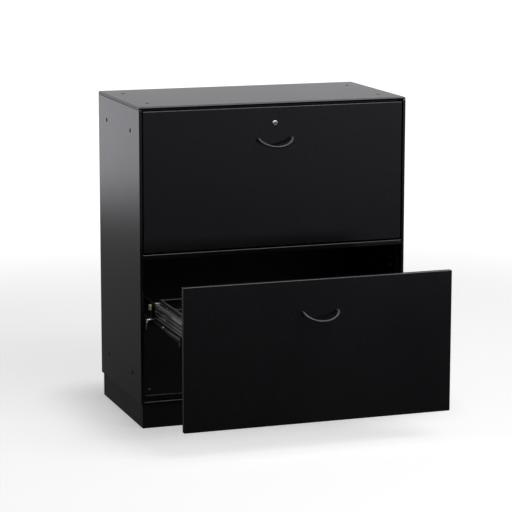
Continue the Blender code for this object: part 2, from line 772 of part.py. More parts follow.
def add_keeper(steel, cabinet):
    lock_z = UPPER_Z + FRONT_TALL - LOCK_DROP
    rear = REBATE_DEEP - FIT
    shape = board(
        (-KEEPER_WIDE / 2, KEEPER_WIDE / 2),
        (rear - KEEPER_THICK, rear),
        (lock_z + KEEPER_CLEARANCE, TOP_Z - LIP - FIT),
    )
    make_piece("lock_keeper", shape, steel, cabinet)


def add_drawer(label, bottom_z, opening, finishes, cabinet):
    file_edge_z = bottom_z + FRAME_TOP
    runner = make_empty(f"{label} runners", cabinet, (0, 0, file_edge_z))
    drawer = make_empty(f"{label} drawer", cabinet, (0, -opening, bottom_z))
    for side_name, side in SIDES.items():
        name = f"{label}_{side_name}"
        carriage = make_empty(f"{name} telescope", cabinet, (0, -opening * TELESCOPE_SHARE, file_edge_z))
        add_cabinet_slide(name, side, finishes, runner)
        add_telescope(name, side, finishes, carriage)
    add_frame(label, finishes, drawer)
    add_handle(label, finishes, drawer)
    return drawer


def main():
    clear_scene()
    finishes = {
        "lacquer": make_material("black lacquer", (0.012, 0.012, 0.013), 0.38),
        "steel": make_material("dark steel", (0.045, 0.045, 0.048), 0.40, 0.3),
        "zinc": make_material("zinc plate", (0.62, 0.62, 0.60), 0.35, 1.0),
        "nylon": make_material("yellowed nylon", (0.55, 0.53, 0.36), 0.45),
        "chrome": make_material("chrome", (0.80, 0.80, 0.80), 0.12, 1.0),
        "handle": make_material("handle lacquer", (0.035, 0.035, 0.038), 0.35),
    }
    lacquer = finishes["lacquer"]
    cabinet = make_empty("cabinet", None, (0, -DEPTH / 2, 0))
    for side_name, side in SIDES.items():
        add_side_panel(f"{side_name}_side_panel", side, lacquer, cabinet)
    add_top_panel(lacquer, cabinet)
    add_bottom_panel(lacquer, cabinet)
    add_divider(lacquer, cabinet)
    add_back_panel(lacquer, cabinet)
    add_plinth(lacquer, cabinet)

    upper = add_drawer("upper", UPPER_Z, 0, finishes, cabinet)
    lower = add_drawer("lower", LOWER_Z, LOWER_OPENING, finishes, cabinet)
    add_front("upper", True, lacquer, upper)
    add_front("lower", False, lacquer, lower)
    turning = make_empty("lock axis", upper, (0, 0, FRONT_TALL - LOCK_DROP))
    add_lock(finishes, upper, turning)
    add_keeper(finishes["steel"], cabinet)


main()
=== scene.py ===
# %% [markdown]
# # A black lateral filing cabinet
#
# This lesson dresses an engineering model of a two-drawer filing cabinet until it looks like the real
# thing. The model says where everything is and how it moves. What we add is the finish of each
# material, finer shapes for the fittings that catch the light, and a plain photo studio around the
# cabinet.

# %% Load the engineering model
import json
import math

import bpy
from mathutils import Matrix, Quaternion, Vector

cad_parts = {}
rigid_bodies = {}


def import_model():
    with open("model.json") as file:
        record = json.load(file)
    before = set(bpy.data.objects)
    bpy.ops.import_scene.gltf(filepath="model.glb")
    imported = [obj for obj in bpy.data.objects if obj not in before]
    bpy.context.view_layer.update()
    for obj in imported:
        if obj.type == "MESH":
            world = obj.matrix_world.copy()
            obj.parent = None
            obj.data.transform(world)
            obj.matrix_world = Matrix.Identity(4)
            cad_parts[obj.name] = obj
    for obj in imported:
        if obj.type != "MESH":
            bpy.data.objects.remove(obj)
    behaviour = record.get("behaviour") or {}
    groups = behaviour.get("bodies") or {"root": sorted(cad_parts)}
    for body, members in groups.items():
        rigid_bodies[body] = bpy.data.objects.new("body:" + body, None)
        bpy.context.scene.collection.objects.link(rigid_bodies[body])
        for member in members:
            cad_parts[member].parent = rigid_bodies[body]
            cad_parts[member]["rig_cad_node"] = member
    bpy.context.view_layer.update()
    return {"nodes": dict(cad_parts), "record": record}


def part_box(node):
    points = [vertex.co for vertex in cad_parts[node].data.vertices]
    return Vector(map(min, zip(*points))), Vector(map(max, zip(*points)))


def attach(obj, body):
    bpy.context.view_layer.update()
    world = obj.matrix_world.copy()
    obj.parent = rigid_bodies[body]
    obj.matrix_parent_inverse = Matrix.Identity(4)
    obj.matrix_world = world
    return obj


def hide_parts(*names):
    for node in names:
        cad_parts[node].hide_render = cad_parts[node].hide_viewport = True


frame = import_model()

nodes = frame["nodes"]
print("pieces in the model:", len(nodes))

# %% [markdown]
# ## Camera
#
# The photograph was taken from the left, well back and a little above the top, so the cabinet hardly
# narrows with distance. A long lens far away gives the same flat perspective. We aim the camera at a
# point inside the cabinet and let Blender work out the turn, which is easier to read than three angles.

# %% Camera
LENS_MM = 158.19
SENSOR_MM = 36.0
FARTHEST_SEEN = 60.0
CAMERA_PLACE = Vector((-2.10787, -6.18355, 1.66841))
CAMERA_AIM = Vector((0.0006, -0.0496, 0.4480))
CAMERA_ROLL = 0.0009


def look_from(place, aim):
    """The turn of a camera or a light that stands at one place and points at another."""
    return (aim - place).to_track_quat("-Z", "Y")


def add_camera():
    data = bpy.data.cameras.new("photo camera")
    data.lens = LENS_MM
    data.sensor_width = SENSOR_MM
    data.clip_end = FARTHEST_SEEN
    camera = bpy.data.objects.new("photo camera", data)
    camera.rotation_mode = "QUATERNION"
    roll = Quaternion((0, 0, 1), CAMERA_ROLL)
    camera.rotation_quaternion = look_from(CAMERA_PLACE, CAMERA_AIM) @ roll
    camera.location = CAMERA_PLACE
    bpy.context.scene.collection.objects.link(camera)
    bpy.context.scene.camera = camera


add_camera()
print("camera stands", round((CAMERA_PLACE - CAMERA_AIM).length, 2), "m from the cabinet")

# %% [markdown]
# ## The studio
#
# Black lacquer shows almost nothing of itself. What we see on it is the room: the side mirrors the
# white back wall down to a horizon, below which it goes dark, and the top mirrors that wall higher up,
# where it is dimmer. The fronts mirror a wall that is brighter on the right. Rounded edges mirror the
# ceiling and the soft box above the camera, which draws the thin bright lines. So the world is painted
# by direction: the camera sees plain white, mirrored rays see this room, and all other rays get soft
# light from above.

# %% Helpers for node trees
MIX_FACTOR, MIX_FIRST, MIX_SECOND = 0, 6, 7
MIX_RESULT = 2


def link(tree, start, end):
    tree.links.new(start, end)


def feed(tree, value, socket):
    """Links another node's output to a socket, or sets a plain number or colour on it."""
    if isinstance(value, bpy.types.NodeSocket):
        link(tree, value, socket)
    else:
        socket.default_value = value


def add_ramp(tree, value, reach, ends=(0.0, 1.0), smooth=True):
    """Goes from one end to the other while the value goes through its reach."""
    node = tree.nodes.new("ShaderNodeMapRange")
    node.interpolation_type = "SMOOTHSTEP" if smooth else "LINEAR"
    sockets = ("Value", "From Min", "From Max", "To Min", "To Max")
    for socket, setting in zip(sockets, (value, *reach, *ends)):
        feed(tree, setting, node.inputs[socket])
    return node.outputs["Result"]


def add_math(tree, operation, first, second=0.0):
    node = tree.nodes.new("ShaderNodeMath")
    node.operation = operation
    feed(tree, first, node.inputs[0])
    feed(tree, second, node.inputs[1])
    return node.outputs[0]


def add_colour_mix(tree, factor, first, second):
    node = tree.nodes.new("ShaderNodeMix")
    node.data_type = "RGBA"
    for value, place in ((factor, MIX_FACTOR), (first, MIX_FIRST), (second, MIX_SECOND)):
        feed(tree, value, node.inputs[place])
    return node.outputs[MIX_RESULT]


def split_vector(tree, vector):
    """The X, Y and Z of a vector, each as an output of its own."""
    node = tree.nodes.new("ShaderNodeSeparateXYZ")
    link(tree, vector, node.inputs["Vector"])
    return node.outputs


def grey(level, blue=1.0):
    """A neutral colour of that brightness, with a little more or less blue."""
    return (level, level, level * blue, 1.0)


print("helpers for node trees ready")

# %% The room that mirrored rays see
HORIZON = (-0.172, -0.146)
WALL_FOOT = grey(1.20, 1.06)
WALL_HEAD = grey(0.285)
WALL_FALL = (-0.10, 0.20)
FRONT_LEFT = grey(0.48, 1.20)
FRONT_RIGHT = grey(1.06, 1.20)
FRONT_CHANGE = (0.22, 0.44)
FRONT_TO_BACK = (-0.3, 0.3)
GROUND_NEAR = grey(0.055)
GROUND_FAR = grey(0.14)
GROUND_RISE = (-0.30, -0.18)
GROUND_FRONT = grey(0.04)
CEILING = grey(3.6)
CEILING_RISE = (0.25, 0.50)
CEILING_BACK = (0.80, 0.45)
SOFT_BOX = grey(10.5, 1.03)
SOFT_BOX_RISE = (0.38, 0.52)
SOFT_BOX_BACK = (0.08, -0.15)


def paint_room(tree, direction):
    x, y, z = direction
    wall = add_colour_mix(tree, add_ramp(tree, z, WALL_FALL, smooth=False), WALL_FOOT, WALL_HEAD)
    front = add_colour_mix(tree, add_ramp(tree, x, FRONT_CHANGE), FRONT_LEFT, FRONT_RIGHT)
    ground = add_colour_mix(tree, add_ramp(tree, z, GROUND_RISE), GROUND_NEAR, GROUND_FAR)
    behind = add_ramp(tree, y, FRONT_TO_BACK)
    above = add_colour_mix(tree, behind, front, wall)
    below = add_colour_mix(tree, behind, GROUND_FRONT, ground)
    room = add_colour_mix(tree, add_ramp(tree, z, HORIZON), below, above)
    lights = ((CEILING, CEILING_RISE, CEILING_BACK), (SOFT_BOX, SOFT_BOX_RISE, SOFT_BOX_BACK))
    for light, rise, back in lights:
        seen = add_math(tree, "MULTIPLY", add_ramp(tree, z, rise), add_ramp(tree, y, back))
        room = add_colour_mix(tree, seen, room, light)
    return room


print("the mirrored room has its horizon at", HORIZON)

# %% World
SKY_LOW = grey(0.06)
SKY_HIGH = grey(0.26)
SKY_RISE = (0.40, 0.95)
PAPER_WHITE = grey(1.0)


def paint_world():
    world = bpy.data.worlds.new("studio")
    bpy.context.scene.world = world
    world.use_nodes = True
    tree = world.node_tree
    tree.nodes.clear()
    direction = split_vector(tree, tree.nodes.new("ShaderNodeTexCoord").outputs["Generated"])
    rays = tree.nodes.new("ShaderNodeLightPath")
    sky = add_colour_mix(tree, add_ramp(tree, direction["Z"], SKY_RISE), SKY_LOW, SKY_HIGH)
    seen = add_colour_mix(tree, rays.outputs["Is Glossy Ray"], sky, paint_room(tree, direction))
    seen = add_colour_mix(tree, rays.outputs["Is Camera Ray"], seen, PAPER_WHITE)
    background = tree.nodes.new("ShaderNodeBackground")
    output = tree.nodes.new("ShaderNodeOutputWorld")
    link(tree, seen, background.inputs["Color"])
    link(tree, background.outputs["Background"], output.inputs["Surface"])
    return world


world = paint_world()
bpy.context.scene.view_settings.view_transform = "Standard"
print("world:", len(world.node_tree.nodes), "nodes")

# %% [markdown]
# The floor is a wide pale sheet that glows a little, as an overexposed studio floor does, so its
# shadows stay light. Right at the plinth it glows less, a painted contact shadow where the cabinet
# shades it, and further out it glows more, where it becomes one with the white backdrop. Only the
# camera sees it: a white floor would turn every black front grey and light the rails from below, and
# the photograph shows neither.

# %% Floor and lights
FLOOR_SIZE = 40.0
FLOOR_WHITE = grey(0.90)
FLOOR_ROUGHNESS = 0.9
# The glow right at the plinth and how far it reaches: a painted contact shadow.
GLOW_IN_PAINTED_SHADOW = 0.38
GLOW_NEAR = 0.64
GLOW_FAR = 0.98
PAINTED_SHADOW_REACH = (-0.03, 0.25)
GLOW_REACH = (1.2, 3.6)
PLINTH_HALF_WIDE = 0.385
PLINTH_HALF_DEEP = 0.200
KEY_POWER = 85.0
KEY_PLACE = Vector((2.0, -3.6, 3.4))
KEY_AIM = Vector((0.0, -0.2, 0.2))
KEY_SIZE = 3.6


def start_clean():
    """Nothing selected and no edit mode, so that the next operator touches only what we give it."""
    if bpy.context.object and bpy.context.object.mode != "OBJECT":
        bpy.ops.object.mode_set(mode="OBJECT")
    bpy.ops.object.select_all(action="DESELECT")


def past_edge_squared(tree, value, edge):
    """How far a value lies past an edge on either side of zero, squared. Inside the edges it is 0."""
    outside = add_math(tree, "SUBTRACT", add_math(tree, "ABSOLUTE", value), edge)
    outside = add_math(tree, "MAXIMUM", outside, 0.0)
    return add_math(tree, "MULTIPLY", outside, outside)


def make_floor_paint():
    paint = bpy.data.materials.new("floor paint")
    paint.use_nodes = True
    tree = paint.node_tree
    shader = tree.nodes["Principled BSDF"]
    shader.inputs["Base Color"].default_value = FLOOR_WHITE
    shader.inputs["Roughness"].default_value = FLOOR_ROUGHNESS
    shader.inputs["Specular IOR Level"].default_value = 0.0
    shader.inputs["Emission Color"].default_value = PAPER_WHITE
    spot = split_vector(tree, tree.nodes.new("ShaderNodeTexCoord").outputs["Object"])
    beside = past_edge_squared(tree, spot["X"], PLINTH_HALF_WIDE)
    before = past_edge_squared(tree, spot["Y"], PLINTH_HALF_DEEP)
    away = add_math(tree, "SQRT", add_math(tree, "ADD", beside, before))
    # Painted contact shadow: the glow drops towards the plinth's footprint.
    painted_shadow_glow = add_ramp(tree, away, PAINTED_SHADOW_REACH, (GLOW_IN_PAINTED_SHADOW, GLOW_NEAR))
    far = add_ramp(tree, away, GLOW_REACH, (0.0, GLOW_FAR - GLOW_NEAR))
    link(tree, add_math(tree, "ADD", painted_shadow_glow, far), shader.inputs["Emission Strength"])
    return paint


def add_floor():
    start_clean()
    bpy.ops.mesh.primitive_plane_add(size=FLOOR_SIZE)
    floor = bpy.context.object
    floor.name = "studio_floor"
    floor.data.materials.append(make_floor_paint())
    floor.visible_glossy = False
    floor.visible_diffuse = False


def add_key_light():
    data = bpy.data.lights.new("key light", "AREA")
    data.shape = "SQUARE"
    data.size = KEY_SIZE
    data.energy = KEY_POWER
    key = bpy.data.objects.new("key light", data)
    key.location = KEY_PLACE
    key.rotation_mode = "QUATERNION"
    key.rotation_quaternion = look_from(KEY_PLACE, KEY_AIM)
    key.visible_glossy = False
    bpy.context.scene.collection.objects.link(key)


add_floor()
add_key_light()
print("floor", FLOOR_SIZE, "m wide, key light of", KEY_POWER, "W")

# %% [markdown]
# ## Shared effects
#
# Several finishes share the same small effects: the faint pebbling that a sprayed coat leaves, a slow
# drift of colour, a gloss that changes a little from place to place, the fine lines that rolling leaves
# in metal, and a painted highlight, lighter paint on the upward-leaning bends of folded steel. Each
# effect is a node group with named inputs, built once and then used in every finish with its own values.

# %% Helpers for node groups
NUMBER = "NodeSocketFloat"
COLOUR = "NodeSocketColor"
VECTOR = "NodeSocketVector"


def new_group(name, inputs, output, output_kind):
    """A node group that reads a vector and the named inputs, and gives one output."""
    group = bpy.data.node_groups.new(name, "ShaderNodeTree")
    group.interface.new_socket("Vector", in_out="INPUT", socket_type=VECTOR)
    for socket, kind, value in inputs:
        item = group.interface.new_socket(socket, in_out="INPUT", socket_type=kind)
        item.default_value = value
    group.interface.new_socket(output, in_out="OUTPUT", socket_type=output_kind)
    start = group.nodes.new("NodeGroupInput").outputs
    end = group.nodes.new("NodeGroupOutput").inputs[output]
    return group, start, end


def add_noise(tree, vector, scale, detail, roughness):
    noise = tree.nodes.new("ShaderNodeTexNoise")
    noise.inputs["Detail"].default_value = detail
    noise.inputs["Roughness"].default_value = roughness
    link(tree, vector, noise.inputs["Vector"])
    feed(tree, scale, noise.inputs["Scale"])
    return noise.outputs["Fac"]


print("helpers for node groups ready")

# %% Node groups
FINE_PER_METRE = 2600.0
FINE_SHARE = 0.35
PATCH_EDGE = (0.35, 0.65)
GLOSS_SWING = (0.3, 0.7)
LINE_EDGE = (0.3, 0.7)
LEANING = (0.10, 0.40)
LEVEL = (0.93, 0.995)


def make_sprayed_coat():
    """Height of a sprayed coat: round pebbles with finer noise on them."""
    inputs = [("Pebbles per metre", NUMBER, 700.0)]
    group, start, end = new_group("sprayed coat", inputs, "Height", NUMBER)
    pebbles = group.nodes.new("ShaderNodeTexVoronoi")
    pebbles.feature = "SMOOTH_F1"
    link(group, start["Vector"], pebbles.inputs["Vector"])
    link(group, start["Pebbles per metre"], pebbles.inputs["Scale"])
    fine = add_noise(group, start["Vector"], FINE_PER_METRE, detail=2.0, roughness=0.5)
    fine = add_math(group, "MULTIPLY", fine, FINE_SHARE)
    link(group, add_math(group, "ADD", fine, pebbles.outputs["Distance"]), end)
    return group


def make_colour_drift():
    """A colour that drifts between two tones in soft patches."""
    inputs = [
        ("Patches per metre", NUMBER, 6.0),
        ("Tone", COLOUR, grey(0.5)),
        ("Other tone", COLOUR, grey(0.6)),
    ]
    group, start, end = new_group("colour drift", inputs, "Colour", COLOUR)
    patches = add_noise(group, start["Vector"], start["Patches per metre"], detail=5.0, roughness=0.6)
    mask = add_ramp(group, patches, PATCH_EDGE)
    link(group, add_colour_mix(group, mask, start["Tone"], start["Other tone"]), end)
    return group


def make_uneven_gloss():
    """A roughness that swings between two values, as on surfaces that are handled."""
    inputs = [("Patches per metre", NUMBER, 9.0), ("Low", NUMBER, 0.3), ("High", NUMBER, 0.4)]
    group, start, end = new_group("uneven gloss", inputs, "Roughness", NUMBER)
    patches = add_noise(group, start["Vector"], start["Patches per metre"], detail=6.0, roughness=0.65)
    ends = (start["Low"], start["High"])
    link(group, add_ramp(group, patches, GLOSS_SWING, ends, smooth=False), end)
    return group


def make_drawn_lines():
    """Height of fine lines along one direction, as rolling and brushing leave in metal."""
    inputs = [("Lines per metre", VECTOR, (900.0, 6.0, 900.0))]
    group, start, end = new_group("drawn lines", inputs, "Height", NUMBER)
    stretched = group.nodes.new("ShaderNodeVectorMath")
    stretched.operation = "MULTIPLY"
    link(group, start["Vector"], stretched.inputs[0])
    link(group, start["Lines per metre"], stretched.inputs[1])
    lines = add_noise(group, stretched.outputs["Vector"], 1.0, detail=4.0, roughness=0.6)
    link(group, add_ramp(group, lines, LINE_EDGE, smooth=False), end)
    return group


def make_painted_bend_highlight():
    """Painted highlight on a bent sheet: lighter paint on faces that lean upwards, but not on level ones.
    """
    inputs = [("Paint", COLOUR, grey(0.1)), ("Rubbed", COLOUR, grey(0.2))]
    group, start, end = new_group("painted bend highlight", inputs, "Colour", COLOUR)
    upwards = split_vector(group, start["Vector"])["Z"]
    leaning = add_ramp(group, upwards, LEANING)
    mask = add_math(group, "SUBTRACT", leaning, add_ramp(group, upwards, LEVEL))
    link(group, add_colour_mix(group, mask, start["Paint"], start["Rubbed"]), end)
    return group


sprayed_coat = make_sprayed_coat()
colour_drift = make_colour_drift()
uneven_gloss = make_uneven_gloss()
drawn_lines = make_drawn_lines()
painted_bend_highlight = make_painted_bend_highlight()
effects = (sprayed_coat, colour_drift, uneven_gloss, drawn_lines, painted_bend_highlight)
print("effects:", [group.name for group in effects])

# %% [markdown]
# ## Finishes
#
# Each finish is a Principled shader fed by those effects. Values that stay the same all over, such as
# metallic or the specular level, are set on the shader itself. The lacquer is almost black with a low
# specular level, so that it is dark when we look straight at it and bright only at a flat angle.

# %% Helpers for finishes
def place_group(tree, group, vector, **values):
    node = tree.nodes.new("ShaderNodeGroup")
    node.node_tree = group
    link(tree, vector, node.inputs["Vector"])
    for name, value in values.items():
        node.inputs[name.replace("_", " ")].default_value = value
    return node


def make_finish(name, tones, patches, gloss, gloss_patches, **settings):
    """A finish with a colour and a gloss that drift in patches. The settings are the same all over."""
    finish = bpy.data.materials.new(name)
    finish.use_nodes = True
    tree = finish.node_tree
    shader = tree.nodes["Principled BSDF"]
    place = tree.nodes.new("ShaderNodeTexCoord").outputs["Object"]
    tone, other_tone = tones
    low, high = gloss
    drift = place_group(
        tree, colour_drift, place, Patches_per_metre=patches, Tone=tone, Other_tone=other_tone
    )
    swing = place_group(tree, uneven_gloss, place, Patches_per_metre=gloss_patches, Low=low, High=high)
    link(tree, drift.outputs["Colour"], shader.inputs["Base Color"])
    link(tree, swing.outputs["Roughness"], shader.inputs["Roughness"])
    for socket, value in settings.items():
        shader.inputs[socket.replace("_", " ")].default_value = value
    return finish


def add_relief(finish, group, strength, depth, **values):
    """Lets the height that an effect gives show as bumps in the finish."""
    tree = finish.node_tree
    place = tree.nodes["Texture Coordinate"].outputs["Object"]
    relief = place_group(tree, group, place, **values)
    bump = tree.nodes.new("ShaderNodeBump")
    bump.inputs["Strength"].default_value = strength
    bump.inputs["Distance"].default_value = depth
    link(tree, relief.outputs["Height"], bump.inputs["Height"])
    link(tree, bump.outputs["Normal"], tree.nodes["Principled BSDF"].inputs["Normal"])


def add_painted_bend_highlight(finish, bend_highlight):
    """Sends the finish's colour through the painted bend highlight on its way to the shader."""
    tree = finish.node_tree
    base = tree.nodes["Principled BSDF"].inputs["Base Color"]
    paint = base.links[0].from_socket
    facing = tree.nodes["Texture Coordinate"].outputs["Normal"]
    bends = place_group(tree, painted_bend_highlight, facing, Rubbed=bend_highlight)
    link(tree, paint, bends.inputs["Paint"])
    link(tree, bends.outputs["Colour"], base)


print("helpers for finishes ready")

# %% Black lacquer on the boards
LACQUER = (grey(0.0060, 1.06), grey(0.0070, 1.06))
FRONT_BLACK = (grey(0.0062, 1.05), grey(0.0075, 1.05))
PLINTH_BLACK = (grey(0.0190), grey(0.0220))
BACK_BLACK = (grey(0.0085), grey(0.0105))


def make_board_finish(name, tones, gloss, specular):
    finish = make_finish(
        name, tones, patches=5.0, gloss=gloss, gloss_patches=4.0, Specular_IOR_Level=specular
    )
    add_relief(finish, sprayed_coat, strength=0.06, depth=0.0002, Pebbles_per_metre=650.0)
    return finish


lacquer = make_board_finish("black lacquer", LACQUER, gloss=(0.14, 0.16), specular=0.25)
front_lacquer = make_board_finish("front lacquer", FRONT_BLACK, gloss=(0.19, 0.22), specular=0.25)
plinth_foil = make_board_finish("plinth foil", PLINTH_BLACK, gloss=(0.28, 0.34), specular=0.05)
back_paint = make_board_finish("back board paint", BACK_BLACK, gloss=(0.40, 0.50), specular=0.12)
print("finishes:", lacquer.name, front_lacquer.name, plinth_foil.name, back_paint.name)

# %% [markdown]
# The folded steel is painted: the drawers' side rails in a mid grey, the slides' rails in a duller one,
# and the cross rails nearly black. On each, faces that lean upwards along the bends get a lighter paint
# as a painted highlight, which is what lets us read the folds in a dark drawer.

# %% Paint on the folded steel
# Each paint is followed by a lighter tone, a painted highlight for the faces that lean upwards on the
# bends.
STEEL_PAINT = (grey(0.120, 1.02), grey(0.145, 1.02))
STEEL_PAINTED_HIGHLIGHT = grey(0.36, 1.02)
DULL_STEEL = (grey(0.042), grey(0.056))
DULL_PAINTED_HIGHLIGHT = grey(0.17)
DARK_STEEL = (grey(0.006), grey(0.008))
DARK_PAINTED_HIGHLIGHT = grey(0.010)


def make_steel_paint(name, tones, bend_highlight, gloss, specular):
    finish = make_finish(
        name, tones, patches=30.0, gloss=gloss, gloss_patches=25.0, Specular_IOR_Level=specular
    )
    # Faces that lean upwards get the lighter tone: a painted highlight.
    add_painted_bend_highlight(finish, bend_highlight)
    add_relief(finish, sprayed_coat, strength=0.12, depth=0.0002, Pebbles_per_metre=900.0)
    return finish


steel_paint = make_steel_paint("steel paint", STEEL_PAINT, STEEL_PAINTED_HIGHLIGHT, (0.17, 0.23), specular=0.15)
dull_steel = make_steel_paint("dull steel", DULL_STEEL, DULL_PAINTED_HIGHLIGHT, (0.18, 0.24), specular=0.12)
dark_steel = make_steel_paint("dark steel paint", DARK_STEEL, DARK_PAINTED_HIGHLIGHT, (0.20, 0.26), specular=0.25)
print("finishes:", steel_paint.name, dull_steel.name, dark_steel.name)

# %% [markdown]
# The rest are small parts. Zinc plate is pale, only partly metallic and lined along the rails. The
# rollers' nylon has yellowed with age. Chrome is dark because it mirrors a dark room, the handles are
# dipped in a dull black, and the plastic of caps and glides has next to no gloss.

# %% Zinc, chrome, nylon, handle lacquer and cap plastic
ZINC = ((0.84, 0.84, 0.82, 1.0), (0.70, 0.70, 0.67, 1.0))
CHROME = ((0.190, 0.190, 0.195, 1.0), (0.155, 0.155, 0.158, 1.0))
NYLON = ((0.70, 0.66, 0.42, 1.0), (0.60, 0.54, 0.28, 1.0))
HANDLE_BLACK = ((0.012, 0.012, 0.014, 1.0), (0.017, 0.017, 0.019, 1.0))
CAP_BLACK = (grey(0.0040), grey(0.0060))
ROLLED = (900.0, 6.0, 900.0)
BRUSHED = (2400.0, 2400.0, 300.0)

zinc = make_finish(
    "zinc plate", ZINC, patches=60.0, gloss=(0.28, 0.45), gloss_patches=80.0, Metallic=0.32
)
add_relief(zinc, drawn_lines, strength=0.08, depth=0.0001, Lines_per_metre=ROLLED)
nylon = make_finish("yellowed nylon", NYLON, patches=110.0, gloss=(0.35, 0.5), gloss_patches=140.0)
add_relief(nylon, sprayed_coat, strength=0.06, depth=0.0001, Pebbles_per_metre=1400.0)
chrome = make_finish(
    "chrome", CHROME, patches=200.0, gloss=(0.18, 0.26), gloss_patches=300.0, Metallic=1.0
)
add_relief(chrome, drawn_lines, strength=0.02, depth=0.00005, Lines_per_metre=BRUSHED)
handle_lacquer = make_finish(
    "handle lacquer", HANDLE_BLACK, patches=45.0, gloss=(0.42, 0.52), gloss_patches=60.0,
    Specular_IOR_Level=0.2,
)
add_relief(handle_lacquer, sprayed_coat, strength=0.08, depth=0.0001, Pebbles_per_metre=1100.0)
cap_plastic = make_finish(
    "cap plastic", CAP_BLACK, patches=160.0, gloss=(0.42, 0.55), gloss_patches=200.0,
    Specular_IOR_Level=0.01,
)
add_relief(cap_plastic, sprayed_coat, strength=0.08, depth=0.0001, Pebbles_per_metre=1800.0)
print("finishes:", zinc.name, nylon.name, chrome.name, handle_lacquer.name, cap_plastic.name)

# %% [markdown]
# The engineering model already says which piece has which finish, by the name of its material slot. So
# one loop dresses every piece, and none can be forgotten. A few pieces have a finish of their own: the
# plinth and the back board a duller black, because nobody polishes what stands on the floor or against
# the wall, the drawer fronts a softer gloss, the glides black plastic and the cross rails dark paint.
# The lock's keeper is dressed in the boards' black lacquer as painted shade, so it reads dark in the gap
# above the upper drawer.

# %% Dress the model's pieces
FINISH_OF_SLOT = {
    "lacquered_board": lacquer,
    "painted_steel": steel_paint,
    "zinc_plate": zinc,
    "nylon": nylon,
    "chrome": chrome,
    "handle_lacquer": handle_lacquer,
}
FINISH_OF_WORD = {
    "plinth": plinth_foil,
    "back_panel": back_paint,
    "drawer_front": front_lacquer,
    # painted shade: the keeper in the gap above the upper drawer gets the black lacquer
    "lock_keeper": lacquer,
    "glide": cap_plastic,
    "cross_rail": dark_steel,
    "centre_file_rail": dark_steel,
}


def dress(piece, finish):
    piece.data.materials.clear()
    piece.data.materials.append(finish)


for subpart in frame["record"]["subparts"]:
    name = subpart["node"]
    finish = FINISH_OF_SLOT[subpart["material_slot"]]
    for word, own_finish in FINISH_OF_WORD.items():
        if word in name:
            finish = own_finish
    dress(nodes[name], finish)

# %% [markdown]
# ## Tools for the small fittings
#
# Most of the small fittings are turned: caps, screws, studs and rollers. On a lathe you would cut half
# an outline and let the work spin. Here one vertex is drawn along that outline by extruding it, and the
# spin operator sweeps it round. A few short helpers then place a piece, copy it and tie it to what
# carries it.

# %% Bench tools for a mesh
MM = 0.001
TOUCHING = 1e-6
BOARD_CORNER = 30
TURNED_CORNER = 35
SHEET_CORNER = 40
ROD_CORNER = 60


def select_only(piece):
    start_clean()
    piece.select_set(True)
    bpy.context.view_layer.objects.active = piece


def open_mesh(piece):
    """Edit mode, with all of the piece selected."""
    select_only(piece)
    bpy.ops.object.mode_set(mode="EDIT")
    bpy.ops.mesh.select_all(action="SELECT")


def close_mesh():
    bpy.ops.object.mode_set(mode="OBJECT")


def merge_doubles(piece, distance=TOUCHING):
    open_mesh(piece)
    bpy.ops.mesh.remove_doubles(threshold=distance)
    close_mesh()


def face_outwards(piece):
    open_mesh(piece)
    bpy.ops.mesh.normals_make_consistent(inside=False)
    close_mesh()


def smooth(piece, corner):
    """Smooth shading, apart from corners sharper than that many degrees."""
    select_only(piece)
    bpy.ops.object.shade_smooth_by_angle(angle=math.radians(corner))


def apply_modifier(piece, kind, **settings):
    select_only(piece)
    bpy.ops.object.modifier_add(type=kind)
    modifier = piece.modifiers[-1]
    for name, value in settings.items():
        setattr(modifier, name, value)
    bpy.ops.object.modifier_apply(modifier=modifier.name)


def smooth_board(board):
    """Smooth rims on a board, where the large flat faces decide the shading, so that they stay flat."""
    smooth(board, BOARD_CORNER)
    apply_modifier(board, "WEIGHTED_NORMAL", keep_sharp=True)


print("bench tools for a mesh ready")

# %% Bench tools that shape
SPIN_STEPS = 40
ROUND_STEPS = 4


def draw_line(name, points):
    """A chain of edges through points, drawn by extruding one vertex."""
    start_clean()
    bpy.ops.mesh.primitive_plane_add(size=MM)
    line = bpy.context.object
    line.name = name
    bpy.ops.object.mode_set(mode="EDIT")
    bpy.ops.mesh.select_mode(type="VERT")
    bpy.ops.mesh.select_all(action="SELECT")
    bpy.ops.mesh.merge(type="CENTER")
    bpy.ops.transform.translate(value=points[0])
    for start, end in zip(points, points[1:]):
        step = Vector(end) - Vector(start)
        bpy.ops.mesh.extrude_region_move(TRANSFORM_OT_translate={"value": step})
    close_mesh()
    return line


def turn(name, outline, steps=SPIN_STEPS):
    """A turned piece. The outline gives radius and height in millimetres, and Z is the axis."""
    piece = draw_line(name, [(radius * MM, 0, height * MM) for radius, height in outline])
    open_mesh(piece)
    bpy.ops.mesh.spin(steps=steps, angle=math.tau, center=(0, 0, 0), axis=(0, 0, 1))
    close_mesh()
    merge_doubles(piece)
    face_outwards(piece)
    smooth(piece, TURNED_CORNER)
    return piece


def add_block(name, size, middle):
    start_clean()
    bpy.ops.mesh.primitive_cube_add(size=1, scale=size, location=middle)
    block = bpy.context.object
    block.name = name
    bpy.ops.object.transform_apply(location=True, rotation=True, scale=True)
    return block


def rounded_block(name, low, high, rounding):
    """A block between two corners, with all its edges rounded."""
    block = add_block(name, high - low, (low + high) / 2)
    open_mesh(block)
    bpy.ops.mesh.bevel(offset=rounding, segments=ROUND_STEPS)
    close_mesh()
    return block


def throw_away(pattern):
    select_only(pattern)
    bpy.ops.object.delete()


def cut_away(piece, tool):
    """Takes the tool's shape out of the piece and throws the tool away."""
    apply_modifier(piece, "BOOLEAN", operation="DIFFERENCE", solver="EXACT", object=tool)
    throw_away(tool)


def join(piece, *others):
    """Makes the others part of the first piece."""
    select_only(piece)
    for other in others:
        other.select_set(True)
    bpy.ops.object.join()


print("bench tools that shape ready")

